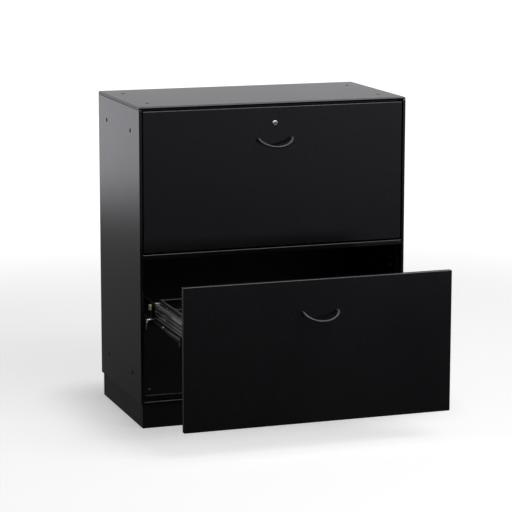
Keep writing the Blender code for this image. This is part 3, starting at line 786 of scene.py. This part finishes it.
# %% Bench tools that place
FACING_UP = (0, 0, 0)
FACING_FRONT = (math.radians(90), 0, 0)
FACING_BACK = (math.radians(-90), 0, 0)
FACING_LEFT = (0, math.radians(-90), 0)
FACING_RIGHT = (0, math.radians(90), 0)


def settle(piece, place, turned=FACING_UP, mirrored=False):
    """Moves a piece to its place and writes that place into its mesh."""
    select_only(piece)
    piece.location = place
    piece.rotation_euler = turned
    if mirrored:
        piece.scale.x = -1
    bpy.ops.object.transform_apply(location=True, rotation=True, scale=True)
    if mirrored:
        face_outwards(piece)


def copy_of(pattern, name):
    select_only(pattern)
    bpy.ops.object.duplicate()
    copy = bpy.context.object
    copy.name = name
    return copy


def fit(piece, body, finish, slot, *stands_for):
    """Gives a piece its finish and ties it to the body that carries it."""
    dress(piece, finish)
    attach(piece, body)
    if stands_for:
        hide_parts(*stands_for)


print("bench tools that place ready")

# %% [markdown]
# ## Top board
#
# The top is one board that laps over the sides. Its front edge is rolled over and undercut, so the
# mirrored room fades out along it and ends in a dark line, and its ends lean in a little and read as a
# darker strip. We grow the board from its lower rim: each step pulls the upper face up and shrinks it
# towards the back. Below, the same face is pulled down as the core that fits between the sides. Four
# recesses take the cover caps.

# %% Outline of the top board
LIP = 8.0 * MM
SEAM = 0.5 * MM
UNDERCUT = 1.2 * MM
REBATE = 20.0 * MM
SIDE_GAP = 0.3 * MM
ROLL_RADIUS = 14.0 * MM
ROLL_ANGLES = (36, 32, 28, 24, 20, 15, 10, 5, 0)
END_LEAN = 1.6 * MM
END_ROUND = 0.6 * MM

top_low, top_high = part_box("top_panel")
side_low, side_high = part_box("left_side_panel")


def roll_levels():
    """Height, front inset and end inset of each step of the upper edge, from the lowest upwards."""
    steepest = math.sin(math.radians(ROLL_ANGLES[0]))
    levels = []
    for angle in ROLL_ANGLES:
        drop = ROLL_RADIUS * (1 - math.cos(math.radians(angle)))
        inset = ROLL_RADIUS * (steepest - math.sin(math.radians(angle)))
        lean = END_LEAN * (LIP - SEAM - drop) / (LIP - SEAM)
        levels.append((top_high.z - drop, inset, lean))
    height, inset, lean = levels.pop()
    levels.append((height, inset, END_LEAN + END_ROUND))
    return levels


print("steps in the top's rolled edge:", len(roll_levels()))

# %% Top board
START_SHEET = MM / 10
STRAIGHT_UP = 0.99
CAP_HOLE_RADIUS = 6.9 * MM
CAP_HOLE_DEEP = 4.0 * MM
CAP_SIDE_INSET = 0.050
CAP_EDGE_INSET = 0.090

cap_columns = (top_low.x + CAP_SIDE_INSET, top_high.x - CAP_SIDE_INSET)
cap_depths = (top_low.y + CAP_EDGE_INSET, top_high.y - CAP_EDGE_INSET)


def pull_face(rise, half_width, front, new_half_width, new_front):
    """Extrudes the selected face and shrinks or widens it. Its back edge stays where it is."""
    bpy.ops.mesh.extrude_region_move(TRANSFORM_OT_translate={"value": (0, 0, rise)})
    wide = new_half_width / half_width
    deep = (top_high.y - new_front) / (top_high.y - front)
    bpy.ops.transform.resize(value=(wide, deep, 1), center_override=(0, top_high.y, 0))


def select_facing(board, up):
    """In edit mode: selects only the faces that look straight up or straight down."""
    bpy.ops.mesh.select_all(action="DESELECT")
    close_mesh()
    for face in board.data.polygons:
        face.select = face.normal.z * up > STRAIGHT_UP
    bpy.ops.object.mode_set(mode="EDIT")
    bpy.ops.mesh.select_mode(type="FACE")


def bore(board, place, facing):
    """Cuts the recess of a cover cap."""
    start_clean()
    bpy.ops.mesh.primitive_cylinder_add(
        vertices=SPIN_STEPS, radius=CAP_HOLE_RADIUS, depth=2 * CAP_HOLE_DEEP,
        location=place, rotation=facing,
    )
    cut_away(board, bpy.context.object)


def add_top_board():
    under = top_high.z - LIP + SEAM
    undercut_front = top_low.y + UNDERCUT
    size = (2 * top_high.x, top_high.y - undercut_front, START_SHEET)
    middle = (0, (top_high.y + undercut_front) / 2, under + START_SHEET / 2)
    board = add_block("top_board", size, middle)
    bpy.ops.object.mode_set(mode="EDIT")
    select_facing(board, 1)
    half, front, height = top_high.x, undercut_front, under + START_SHEET
    for level, inset, lean in roll_levels():
        new_half, new_front = top_high.x - lean, top_low.y + inset
        pull_face(level - height, half, front, new_half, new_front)
        half, front, height = new_half, new_front, level
    select_facing(board, -1)
    pull_face(0, top_high.x, undercut_front, -side_high.x - SIDE_GAP, top_low.y + REBATE)
    bpy.ops.mesh.extrude_region_move(TRANSFORM_OT_translate={"value": (0, 0, top_low.z - under)})
    face_outwards(board)
    for x in cap_columns:
        for y in cap_depths:
            bore(board, (x, y, top_high.z), FACING_UP)
    smooth_board(board)
    fit(board, "cabinet", lacquer, "lacquered_board", "top_panel")
    return board


print("top board:", len(add_top_board().data.polygons), "faces")

# %% [markdown]
# ## Bottom board and divider
#
# Both boards have a thin lip in front, on which the drawer fronts end, and a deeper part behind it. The
# lips' edges are rounded and mirror the soft box, which gives the two bright lines at the foot and the
# middle of the opening. Each board is two blocks with bevelled edges, joined into one piece.

# %% Bottom board and divider
LIP_ROUND = 1.4 * MM
STEP_ROUND = 0.6 * MM
FIT_GAP = 0.1 * MM


def add_stepped_board(name, node, lip_top):
    """A lip in front and the deeper part behind it. The deeper part fits between the sides."""
    low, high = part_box(node)
    step = low.y + REBATE
    narrow = side_high.x + SIDE_GAP
    lip = rounded_block(name, low, Vector((high.x, step - FIT_GAP, lip_top)), LIP_ROUND)
    behind_low = Vector((narrow, step, low.z))
    behind_high = Vector((-narrow, high.y, high.z))
    join(lip, rounded_block("behind", behind_low, behind_high, STEP_ROUND))
    smooth_board(lip)
    fit(lip, "cabinet", lacquer, "lacquered_board", node)


add_stepped_board("bottom_board", "bottom_panel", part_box("bottom_panel")[0].z + LIP)
add_stepped_board("divider_board", "drawer_divider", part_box("drawer_divider")[1].z)
print("bottom board and divider in place, lip", LIP / MM, "mm thick")

# %% [markdown]
# ## Side boards and cover caps
#
# The boards are screwed together, and each screw hole is closed with a small black plastic cap. The cap
# is dished and sits a little below the lacquer, so it reads as a dark dot with a lit rim. The model's
# holes in the sides are too narrow for that, so the sides are copied and their holes widened. One cap
# is turned, and copies go into the recesses in the top and in both sides.

# %% Side boards
MODEL_SEAM = MM / 100
CAP_END_INSET = 0.075

cap_heights = (side_low.z + CAP_END_INSET, top_high.z - CAP_END_INSET)


def add_side_boards():
    for side, x in (("left", top_low.x), ("right", top_high.x)):
        board = copy_of(nodes[f"{side}_side_panel"], f"{side}_side_board")
        del board["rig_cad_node"]
        merge_doubles(board, MODEL_SEAM)
        for y in cap_depths:
            for z in cap_heights:
                bore(board, (x, y, z), FACING_RIGHT)
        fit(board, "cabinet", lacquer, "lacquered_board", f"{side}_side_panel")


add_side_boards()
print("side boards: 2, with holes", 2 * CAP_HOLE_RADIUS / MM, "mm wide")

# %% Cover caps
CAP_OUTLINE = [
    (0, -0.9), (2.2, -0.88), (4.0, -0.75), (5.2, -0.5), (6.0, -0.3), (6.4, -0.3),
    (6.6, -0.6), (6.6, -3.8), (0, -3.8),
]


def add_caps():
    pattern = turn("cap_pattern", CAP_OUTLINE)
    spots = []
    for y in cap_depths:
        for x in cap_columns:
            spots.append(("top", (x, y, top_high.z), FACING_UP))
        for z in cap_heights:
            spots.append(("left", (top_low.x, y, z), FACING_LEFT))
            spots.append(("right", (top_high.x, y, z), FACING_RIGHT))
    for number, (face, place, facing) in enumerate(spots, 1):
        cap = copy_of(pattern, f"{face}_cover_cap_{number:02d}")
        settle(cap, place, facing)
        fit(cap, "cabinet", cap_plastic, "nylon")
    throw_away(pattern)
    return len(spots)


print("cover caps:", add_caps())

# %% [markdown]
# ## Bow handles
#
# Each handle is one steel rod, bent so that it leaves the front square, swings out for the fingers and
# sags in the middle. A curve with a round bevel is the quickest way to such a rod. We draw the centre
# line with a sine, turn the curve into a mesh, and use it for both drawers.

# %% Bow handles
ROD_RADIUS = 3.5 * MM
ROD_ROUNDNESS = 6
BOW_HALF = 50 * MM
BOW_REACH = 33.5 * MM
BOW_STUB = 6 * MM
BOW_SAG = 22 * MM
BOW_BEND = 1.3
BOW_STEPS = 56
BOW_GAP = 0.3 * MM
LEVELS = ("upper", "lower")


def bow_line():
    """Centre line of the rod. The middle between its feet is the origin, and the front faces -Y."""
    points = [(-BOW_HALF, -BOW_GAP, 0)]
    for step in range(BOW_STEPS + 1):
        angle = math.pi * step / BOW_STEPS
        lift = max(math.sin(angle), 0.0)
        out = BOW_STUB + (BOW_REACH - BOW_STUB) * lift
        points.append((-BOW_HALF * math.cos(angle), -out, -BOW_SAG * lift**BOW_BEND))
    points.append((BOW_HALF, -BOW_GAP, 0))
    return points


def bend_rod(name):
    start_clean()
    bpy.ops.curve.primitive_nurbs_path_add()
    rod = bpy.context.object
    rod.name = name
    rod.data.splines.clear()
    line = rod.data.splines.new("POLY")
    points = bow_line()
    line.points.add(len(points) - 1)
    for point, place in zip(line.points, points):
        point.co = (*place, 1)
    rod.data.bevel_depth = ROD_RADIUS
    rod.data.bevel_resolution = ROD_ROUNDNESS
    rod.data.use_fill_caps = True
    bpy.ops.object.convert(target="MESH")
    merge_doubles(rod)
    face_outwards(rod)
    smooth(rod, ROD_CORNER)
    return rod


def add_handles():
    pattern = bend_rod("bow_pattern")
    for level in LEVELS:
        handle = copy_of(pattern, f"{level}_bow_handle")
        front_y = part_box(f"{level}_drawer_front")[0].y
        screw_low, screw_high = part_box(f"{level}_left_handle_screw")
        settle(handle, (0, front_y, (screw_low.z + screw_high.z) / 2))
        fit(handle, f"{level}_drawer", handle_lacquer, "handle_lacquer", f"{level}_handle")
    throw_away(pattern)


add_handles()
print("handles: rod", 2 * ROD_RADIUS / MM, "mm thick,", 2 * BOW_HALF / MM, "mm between its feet")

# %% [markdown]
# ## Lock
#
# A cylinder lock shows a chrome collar and, inside it, the end of the plug with its key slot. The
# collar has a rounded shoulder that mirrors the soft box above and the dark ground below, so its upper
# half is bright and its lower half almost black. Both are turned, and the slot is cut with a small
# block.

# %% Lock
COLLAR_OUTLINE = [
    (5.8, 4.6), (6.3, 4.6), (6.9, 4.35), (7.4, 3.8), (7.6, 3.1), (7.6, 0.9), (8.2, 0.6), (8.2, 0.3),
    (8.0, 0.3), (8.0, -21.5), (5.8, -21.5), (5.8, 4.6),
]
PLUG_OUTLINE = [(0, 4.2), (5.5, 4.2), (5.5, -21.5), (3.5, -21.5), (3.5, -26.5), (0, -26.5)]
PLUG_FACE = PLUG_OUTLINE[0][1] * MM
KEY_SLOT = (7.4 * MM, 2.2 * MM, 6.0 * MM)
LOCK_STEPS = 64


def add_lock():
    low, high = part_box("lock_housing")
    front_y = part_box("upper_drawer_front")[0].y
    centre = ((low.x + high.x) / 2, front_y, (low.z + high.z) / 2)
    collar = turn("lock_collar", COLLAR_OUTLINE, LOCK_STEPS)
    settle(collar, centre, FACING_FRONT)
    fit(collar, "upper_drawer", chrome, "chrome", "lock_housing")
    plug = turn("lock_plug_face", PLUG_OUTLINE, LOCK_STEPS)
    cut_away(plug, add_block("key_slot", KEY_SLOT, (0, 0, PLUG_FACE)))
    smooth(plug, TURNED_CORNER)
    settle(plug, centre, FACING_FRONT)
    fit(plug, "lock_barrel", chrome, "chrome", "lock_plug")
    return centre


print("lock axis at", [round(value, 4) for value in add_lock()])

# %% [markdown]
# ## Guide rollers
#
# At the front end of each slide a nylon roller keeps the drawer's side rail off the woodwork. Nylon
# yellows with age, which makes it the only warm colour on the cabinet. It sits off the centre of a
# painted steel pin with a wide foot, so that turning the pin adjusts it. Both are turned separately,
# because they are different materials.

# %% Guide rollers
ROLLER_OUTLINE = [
    (0, -2.6), (2.4, -2.7), (4.1, -3.3), (5.1, -4.6), (5.4, -6.2), (5.1, -7.8), (4.4, -9.4), (4.2, -11.6),
    (4.4, -13.8), (5.1, -15.4), (5.4, -17.0), (5.0, -18.8), (3.9, -20.0), (2.2, -20.4), (0, -20.4),
]
ROLLER_FORWARD = 9.0 * MM
ROLLER_OFFSET = 1.2 * MM
PIN_OFFSET = 4.6 * MM
PIN_RADIUS = 1.9
PIN_TOP = -19
PIN_LONGER = 4.0
PIN_FOOT = 3.8
SLIDES = [f"{level}_{side}" for level in LEVELS for side in ("left", "right")]


def pin_outline(foot):
    return [
        (0, PIN_TOP), (PIN_RADIUS, PIN_TOP), (PIN_RADIUS, foot + 2.6), (PIN_FOOT - 0.6, foot + 2.2),
        (PIN_FOOT, foot + 1.4), (PIN_FOOT, foot), (0, foot),
    ]


def add_rollers():
    low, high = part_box("lower_left_guide_post")
    roller_pattern = turn("roller_pattern", ROLLER_OUTLINE)
    pin_pattern = turn("pin_pattern", pin_outline((low.z - high.z) / MM - PIN_LONGER))
    for slide in SLIDES:
        low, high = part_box(f"{slide}_guide_post")
        top = Vector(((low.x + high.x) / 2, (low.y + high.y) / 2 - ROLLER_FORWARD, high.z))
        inward = Vector((-1 if slide.endswith("right") else 1, 0, 0))
        roller = copy_of(roller_pattern, f"{slide}_guide_roller")
        settle(roller, top + ROLLER_OFFSET * inward)
        fit(roller, "cabinet", nylon, "nylon", f"{slide}_guide_post")
        pin = copy_of(pin_pattern, f"{slide}_guide_pin")
        settle(pin, top + PIN_OFFSET * inward)
        fit(pin, "cabinet", steel_paint, "zinc_plate")
    throw_away(roller_pattern)
    throw_away(pin_pattern)


add_rollers()
print("guide rollers:", len(SLIDES))

# %% [markdown]
# ## File rails
#
# The sides of a hanging-file drawer are folded from thin sheet steel: an outer skirt with two pressed
# ribs, a rounded shoulder, and an inner wall whose top edge carries the files. We draw the middle of
# the sheet as a line, pull it along the drawer, and let Solidify give it the sheet's thickness.

# %% Outline of the file rails
SHEET = 1.2
RIB_FACE = 0.6
WALL_FACE = 2.1
SKIRT_LOW = -53.2
SKIRT_HEM = 1.2
STEP_LOW = -27.0
STEP_HIGH = -25.4
SHOULDER_LOW = -21.6
SHOULDER_TOP = -11.6
SHOULDER_WIDE = 6.0
SHOULDER_STEPS = 8
RIB_HEIGHTS = (-43.2, -31.9)
RIB_HALF = 0.8
RIB_SLOPE = 1.0
FOLD_GAP = 0.1
HEM_DEEP = 6.0
HOOK_END = 13.8


def skirt_line():
    """The outer skirt from its lower hem to the shoulder, as (inward, height) in millimetres."""
    hem_end = SKIRT_LOW + SKIRT_HEM
    points = [(RIB_FACE, SKIRT_LOW), (RIB_FACE, hem_end), (WALL_FACE, hem_end + RIB_SLOPE)]
    for rib in RIB_HEIGHTS:
        points += [(WALL_FACE, rib - RIB_HALF - RIB_SLOPE), (RIB_FACE, rib - RIB_HALF)]
        points += [(RIB_FACE, rib + RIB_HALF), (WALL_FACE, rib + RIB_HALF + RIB_SLOPE)]
    points += [(WALL_FACE, STEP_LOW), (RIB_FACE + 0.2, STEP_HIGH), (RIB_FACE, SHOULDER_LOW - 1.5)]
    for step in range(SHOULDER_STEPS + 1):
        angle = math.pi / 2 * step / SHOULDER_STEPS
        inward = RIB_FACE + SHOULDER_WIDE * (1 - math.cos(angle))
        points.append((inward, SHOULDER_LOW + (SHOULDER_TOP - SHOULDER_LOW) * math.sin(angle)))
    return points


def wall_line(width, hook):
    """The inner wall, from the hem at the file edge down to the hook beside the slide."""
    face = width - SHEET / 2
    hem = face - SHEET - FOLD_GAP
    hook_line = hook + SHEET / 2
    return [
        (hem, -HEM_DEEP), (hem, -1.3), (hem + 0.2, -0.85), (hem + 0.65, -0.6), (face - 0.2, -0.85),
        (face, -1.3), (face, hook_line + 1.2), (face - 0.35, hook_line + 0.35), (face - 1.2, hook_line),
        (HOOK_END, hook_line),
    ]


print("points in the skirt's line:", len(skirt_line()))

# %% File rails
SHEET_BREAK = 0.3
BREAK_STEPS = 2
BREAK_ANGLE = math.radians(50)


def drawer_of(slide):
    return slide.split("_")[0] + "_drawer"


def pull_sheet(name, line, length, sheet, rounding):
    """Folded sheet: a line across the drawer, pulled along it, thickened and broken at its edges."""
    piece = draw_line(name, [(inward * MM, 0, height * MM) for inward, height in line])
    open_mesh(piece)
    bpy.ops.mesh.extrude_region_move(TRANSFORM_OT_translate={"value": (0, length, 0)})
    face_outwards(piece)
    apply_modifier(piece, "SOLIDIFY", thickness=sheet * MM, offset=0, use_even_offset=True)
    apply_modifier(
        piece, "BEVEL", width=rounding * MM, segments=BREAK_STEPS,
        limit_method="ANGLE", angle_limit=BREAK_ANGLE,
    )
    return piece


def hang(pattern, slide, kind, node, set_back=0.0):
    """Copies a pattern to the outer upper front corner of a slide's node. On the right it is mirrored."""
    low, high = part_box(f"{slide}_{node}")
    right = slide.endswith("right")
    piece = copy_of(pattern, f"{slide}_{kind}")
    settle(piece, (high.x if right else low.x, low.y + set_back, high.z), mirrored=right)
    return piece


def add_file_rails():
    low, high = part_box("lower_left_file_rail")
    width = (high.x - low.x) / MM
    length = high.y - low.y
    inner_line = wall_line(width, (low.z - high.z) / MM)
    shelf = [(inner_line[0][0] - SHEET / 2 - FOLD_GAP, SHOULDER_TOP)]
    pattern = pull_sheet("skirt_pattern", skirt_line() + shelf, length, SHEET, SHEET_BREAK)
    join(pattern, pull_sheet("wall_pattern", inner_line, length, SHEET, SHEET_BREAK))
    smooth(pattern, SHEET_CORNER)
    for slide in SLIDES:
        rail = hang(pattern, slide, "folded_rail", "file_rail")
        fit(rail, drawer_of(slide), steel_paint, "painted_steel", f"{slide}_file_rail")
    throw_away(pattern)
    return width, length


print("file rails, width in mm and length in m:", [round(value, 3) for value in add_file_rails()])

# %% [markdown]
# The rear cross rail of each frame is folded over along its upper and lower edge. These two hems get
# the lighter steel paint as a painted highlight for the light their edges catch, so they show as bright
# lines with the dark web between them. Each hem is a slim rounded bar along the edge. At each end a
# short bright strip closes the shelf of the side rail.

# %% Hems of the rear cross rails
HEM_TALL = 1.6 * MM
HEM_WIDE = 6.0 * MM
HEM_PROUD = 0.3 * MM


def add_hems(level):
    low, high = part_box(f"{level}_rear_cross_rail")
    front = low.y - HEM_PROUD
    back = low.y + HEM_WIDE

    def hem_bar(name, bottom, top):
        lowest = Vector((low.x, front, bottom))
        return rounded_block(name, lowest, Vector((high.x, back, top)), HEM_PROUD)

    hems = hem_bar(f"{level}_rear_hems", high.z - HEM_TALL, high.z + HEM_PROUD)
    join(hems, hem_bar("lower_hem", low.z - HEM_PROUD, low.z + HEM_TALL))
    smooth(hems, BOARD_CORNER)
    # The hems' lighter paint is a painted highlight.
    fit(hems, f"{level}_drawer", steel_paint, "painted_steel")


for level in LEVELS:
    add_hems(level)
print("hems: 2 on each of", len(LEVELS), "frames")

# %% End strips
STRIP_FROM = 1.5 * MM
STRIP_TO = 16.0 * MM
STRIP_TALL = 1.7 * MM
STRIP_LONG = 3.2 * MM
STRIP_ROUND = 0.6 * MM


def add_end_strips():
    rail_low, rail_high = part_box("lower_left_file_rail")
    shelf = (SHOULDER_TOP + SHEET / 2 + FOLD_GAP) * MM
    low = Vector((STRIP_FROM, -STRIP_LONG, shelf))
    high = Vector((STRIP_TO, -HEM_PROUD, shelf + STRIP_TALL))
    pattern = rounded_block("end_strip_pattern", low, high, STRIP_ROUND)
    smooth(pattern, SHEET_CORNER)
    for slide in SLIDES:
        strip = hang(pattern, slide, "end_strip", "file_rail", rail_high.y - rail_low.y)
        fit(strip, drawer_of(slide), zinc, "zinc_plate")
    throw_away(pattern)


add_end_strips()
print("end strips:", len(SLIDES))

# %% [markdown]
# ## Slide rails
#
# Each slide has two rails of thicker sheet, both dark and hard to see. The cabinet rail is a shelf with
# a leg at the wall and an upright on which the telescopic rail runs. It is zinc plated, but inside the
# cabinet it is dressed in dull dark steel as painted shade, so only its front end shows the bright
# zinc; that end has a rounded nose and a fillet in the corner, and is a piece of its own. The
# telescopic rail hooks over the cabinet rail, and its lip has a pressed bead and ends in a stop tab in
# front. The cut edges are broken, so they catch the light and draw the slide in the dark opening.

# %% Outlines of the slide rails
RAIL_SHEET = 2.0
FLANGE_DROP = -40.5
UPRIGHT_LIP = 5.6
BEND = 0.8
BEND_MID = 0.3 * BEND
TELESCOPE_SHEET = 1.6
TELESCOPE_FOOT = -47.2
TELESCOPE_LIP = 1.4
BEAD_HEIGHTS = (-51.1, -52.1, -56.1, -57.1)
LIP_FOOT = -61.6
TAB_FOOT = -71.8


def cabinet_rail_line(wide, foot):
    leg = RAIL_SHEET / 2
    upright = wide - RAIL_SHEET / 2
    return [
        (leg, foot), (leg, FLANGE_DROP - BEND), (leg + BEND_MID, FLANGE_DROP - BEND_MID),
        (leg + BEND, FLANGE_DROP), (upright - BEND, FLANGE_DROP),
        (upright - BEND_MID, FLANGE_DROP + BEND_MID), (upright, FLANGE_DROP + BEND),
        (upright, -leg), (wide - UPRIGHT_LIP, -leg),
    ]


def telescope_line(wide):
    top = -TELESCOPE_SHEET / 2
    web = wide - TELESCOPE_SHEET / 2
    bead = TELESCOPE_SHEET / 2
    lip = bead + TELESCOPE_LIP
    out, bead_top, bead_low, back = BEAD_HEIGHTS
    return [
        (bead + BEND, top), (web - BEND, top), (web, top - BEND), (web, TELESCOPE_FOOT + BEND),
        (web - BEND, TELESCOPE_FOOT), (lip + BEND, TELESCOPE_FOOT), (lip, TELESCOPE_FOOT - BEND),
        (lip, out), (bead, bead_top), (bead, bead_low), (lip, back), (lip, LIP_FOOT),
    ]


print("slide rails: sheet", RAIL_SHEET, "mm and", TELESCOPE_SHEET, "mm")

# %% Slide rails
RAIL_FORWARD = 9.0 * MM
RAIL_BREAK = 0.4
END_LONG = 8.0 * MM
NOSE_DEEP = 3.6 * MM
NOSE_TALL = 2.4
NOSE_ROUND = 1.5 * MM
FLANGE_POINTS = 5
GUSSET_LINE = [(1.6, -9.5), (2.2, -5.5), (3.6, -3.6), (6.0, -2.4), (10.0, -1.8)]
GUSSET_SHEET = 2.4
GUSSET_BREAK = 0.3
LEG_SHORTER = 2.5
TELESCOPE_BREAK = 0.5
TAB_LONG = 12.0 * MM


def make_rail_end(line):
    """The bright front end of a cabinet rail: leg and flange, a fillet below and a nose in front."""
    flange = line[:FLANGE_POINTS]
    leg = flange[0][0]
    long = END_LONG - NOSE_DEEP - FIT_GAP
    end = pull_sheet("rail_end_pattern", flange, long, RAIL_SHEET, RAIL_BREAK)
    gusset_line = [(leg + inward, FLANGE_DROP + below) for inward, below in GUSSET_LINE]
    gusset = pull_sheet("gusset_pattern", gusset_line, long, GUSSET_SHEET, GUSSET_BREAK)
    nose_low = Vector((leg * MM, -NOSE_DEEP, (FLANGE_DROP - RAIL_SHEET / 2) * MM))
    nose_high = Vector((flange[-1][0] * MM, -FIT_GAP, (FLANGE_DROP + NOSE_TALL) * MM))
    join(end, gusset, rounded_block("nose_pattern", nose_low, nose_high, NOSE_ROUND))
    smooth(end, SHEET_CORNER)
    return end


def make_telescope():
    """The telescopic rail, with the stop tab at the front end of its lip."""
    low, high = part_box("lower_left_telescopic_rail")
    line = telescope_line((high.x - low.x) / MM)
    rail = pull_sheet("telescope_pattern", line, high.y - low.y, TELESCOPE_SHEET, TELESCOPE_BREAK)
    tab_line = [line[-1], (line[-1][0], TAB_FOOT)]
    join(rail, pull_sheet("tab_pattern", tab_line, TAB_LONG, TELESCOPE_SHEET, TELESCOPE_BREAK))
    smooth(rail, SHEET_CORNER)
    return rail


def add_slide_rails():
    low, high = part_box("lower_left_cabinet_rail")
    line = cabinet_rail_line((high.x - low.x) / MM, (low.z - high.z) / MM + LEG_SHORTER)
    long = high.y - low.y + RAIL_FORWARD - END_LONG
    end = make_rail_end(line)
    cabinet_rail = pull_sheet("cabinet_rail_pattern", line, long, RAIL_SHEET, RAIL_BREAK)
    smooth(cabinet_rail, SHEET_CORNER)
    telescope = make_telescope()
    for slide in SLIDES:
        rail = hang(cabinet_rail, slide, "shelf_rail", "cabinet_rail", END_LONG - RAIL_FORWARD)
        # The zinc-plated shelf rail takes the dull dark steel: painted shade for the part inside the
        # cabinet.
        fit(rail, "cabinet", dull_steel, "zinc_plate", f"{slide}_cabinet_rail")
        rail_end = hang(end, slide, "rail_end", "cabinet_rail", NOSE_DEEP - RAIL_FORWARD)
        fit(rail_end, "cabinet", zinc, "zinc_plate")
        rail = hang(telescope, slide, "hook_rail", "telescopic_rail")
        fit(rail, f"{slide}_telescope", dull_steel, "painted_steel", f"{slide}_telescopic_rail")
    for pattern in (cabinet_rail, end, telescope):
        throw_away(pattern)


add_slide_rails()
print("slide rails:", 2 * len(SLIDES))

# %% [markdown]
# ## Screws, studs and sleeves
#
# Small bright fittings are what makes a dark inside believable. Pan-head screws with a cross recess
# hold the handles and the floor. Each is turned once, its recess is cut with two crossed blocks, and
# copies go to their places.

# %% Pan-head screws
HEAD_OUTLINE = [(0, 2.5), (1.4, 2.42), (2.7, 2.05), (3.6, 1.35), (4.0, 0.55), (4.0, 0)]
SHANK_RADIUS = 1.8
CROSS_LONG = 4.6 * MM
CROSS_WIDE = 0.9 * MM
CROSS_DEEP = 2.6 * MM
HEAD_LIFT = 0.3 * MM
BOLT_SHANK = 0.2
FLOOR_BOLT_X = 0.350
FLOOR_BOLT_DEPTHS = (0.090, 0.340)


def turn_screw(name, shank):
    """A pan head with a cross recess, on a shank of that length in millimetres. The head faces up."""
    shank_line = [(SHANK_RADIUS, 0), (SHANK_RADIUS, -shank), (0, -shank)]
    screw = turn(name, HEAD_OUTLINE + shank_line)
    for size in ((CROSS_LONG, CROSS_WIDE, CROSS_DEEP), (CROSS_WIDE, CROSS_LONG, CROSS_DEEP)):
        cut_away(screw, add_block("cross_recess", size, (0, 0, HEAD_OUTLINE[0][1] * MM)))
    smooth(screw, TURNED_CORNER)
    return screw


def add_handle_screws():
    low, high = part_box("lower_left_handle_screw")
    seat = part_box("lower_drawer_front")[1].y + HEAD_LIFT
    pattern = turn_screw("handle_screw_pattern", (seat - low.y) / MM)
    for slide in SLIDES:
        low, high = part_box(f"{slide}_handle_screw")
        drawer = drawer_of(slide)
        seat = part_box(f"{drawer}_front")[1].y + HEAD_LIFT
        screw = copy_of(pattern, f"{slide}_pan_head_screw")
        settle(screw, ((low.x + high.x) / 2, seat, (low.z + high.z) / 2), FACING_BACK)
        fit(screw, drawer, zinc, "zinc_plate", f"{slide}_handle_screw")
    throw_away(pattern)


def add_floor_bolts():
    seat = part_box("bottom_panel")[1].z + BOLT_SHANK * MM
    pattern = turn_screw("floor_bolt_pattern", BOLT_SHANK)
    columns = (-FLOOR_BOLT_X, FLOOR_BOLT_X)
    spots = [(x, top_low.y + depth, seat) for x in columns for depth in FLOOR_BOLT_DEPTHS]
    for number, spot in enumerate(spots, 1):
        bolt = copy_of(pattern, f"floor_bolt_{number}")
        settle(bolt, spot)
        fit(bolt, "cabinet", dull_steel, "painted_steel")
    throw_away(pattern)
    return len(spots)


add_handle_screws()
print("handle screws:", len(SLIDES), "and floor bolts:", add_floor_bolts())

# %% [markdown]
# A rivet with a round head shows on the lip of each telescopic rail, where the stop inside is fixed.
# Rows of metal sleeves in the side walls take the slides at any height. Both are turned once and
# copied, and the sleeves have fewer facets, because there are 48 of them and each is only a few
# millimetres wide.

# %% Stop studs
STUD_OUTLINE = [(0, 1.6), (0.9, 1.55), (1.6, 1.25), (2.0, 0.8), (2.2, 0.1), (0, 0.1)]
STUD_INWARD = 1.4 * MM
STUD_FROM_REAR = 0.220
STUD_BELOW = 48.9 * MM


def add_studs():
    pattern = turn("stud_pattern", STUD_OUTLINE)
    for slide in SLIDES:
        low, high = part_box(f"{slide}_telescopic_rail")
        right = slide.endswith("right")
        x = high.x - STUD_INWARD if right else low.x + STUD_INWARD
        facing = FACING_RIGHT if right else FACING_LEFT
        stud = copy_of(pattern, f"{slide}_stop_stud")
        settle(stud, (x, high.y - STUD_FROM_REAR, high.z - STUD_BELOW), facing)
        fit(stud, f"{slide}_telescope", zinc, "zinc_plate")
    throw_away(pattern)


add_studs()
print("stop studs:", len(SLIDES))

# %% Sleeves in the side walls
SLEEVE_OUTLINE = [(0, 0.15), (2.3, 0.15), (2.5, 0.55), (3.0, 0.75), (3.5, 0.6), (3.7, 0.05), (0, 0.05)]
SLEEVE_FACETS = 20
SLEEVE_PITCH = 0.0255
SLEEVE_ROWS = 6
SLEEVE_DEPTHS = (0.064, 0.392)
SLEEVE_BELOW_FILE_EDGE = 0.0275


def add_sleeves():
    pattern = turn("sleeve_pattern", SLEEVE_OUTLINE, SLEEVE_FACETS)
    walls = {
        "left": (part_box("left_side_panel")[1].x, FACING_RIGHT),
        "right": (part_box("right_side_panel")[0].x, FACING_LEFT),
    }
    number = 0
    for level in LEVELS:
        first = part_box(f"{level}_left_file_rail")[1].z - SLEEVE_BELOW_FILE_EDGE
        for side, (x, facing) in walls.items():
            for depth in SLEEVE_DEPTHS:
                for row in range(SLEEVE_ROWS):
                    number += 1
                    sleeve = copy_of(pattern, f"{level}_{side}_sleeve_{number:02d}")
                    settle(sleeve, (x, top_low.y + depth, first + row * SLEEVE_PITCH), facing)
                    fit(sleeve, "cabinet", dull_steel, "painted_steel")
    throw_away(pattern)
    return number


print("sleeves:", add_sleeves())
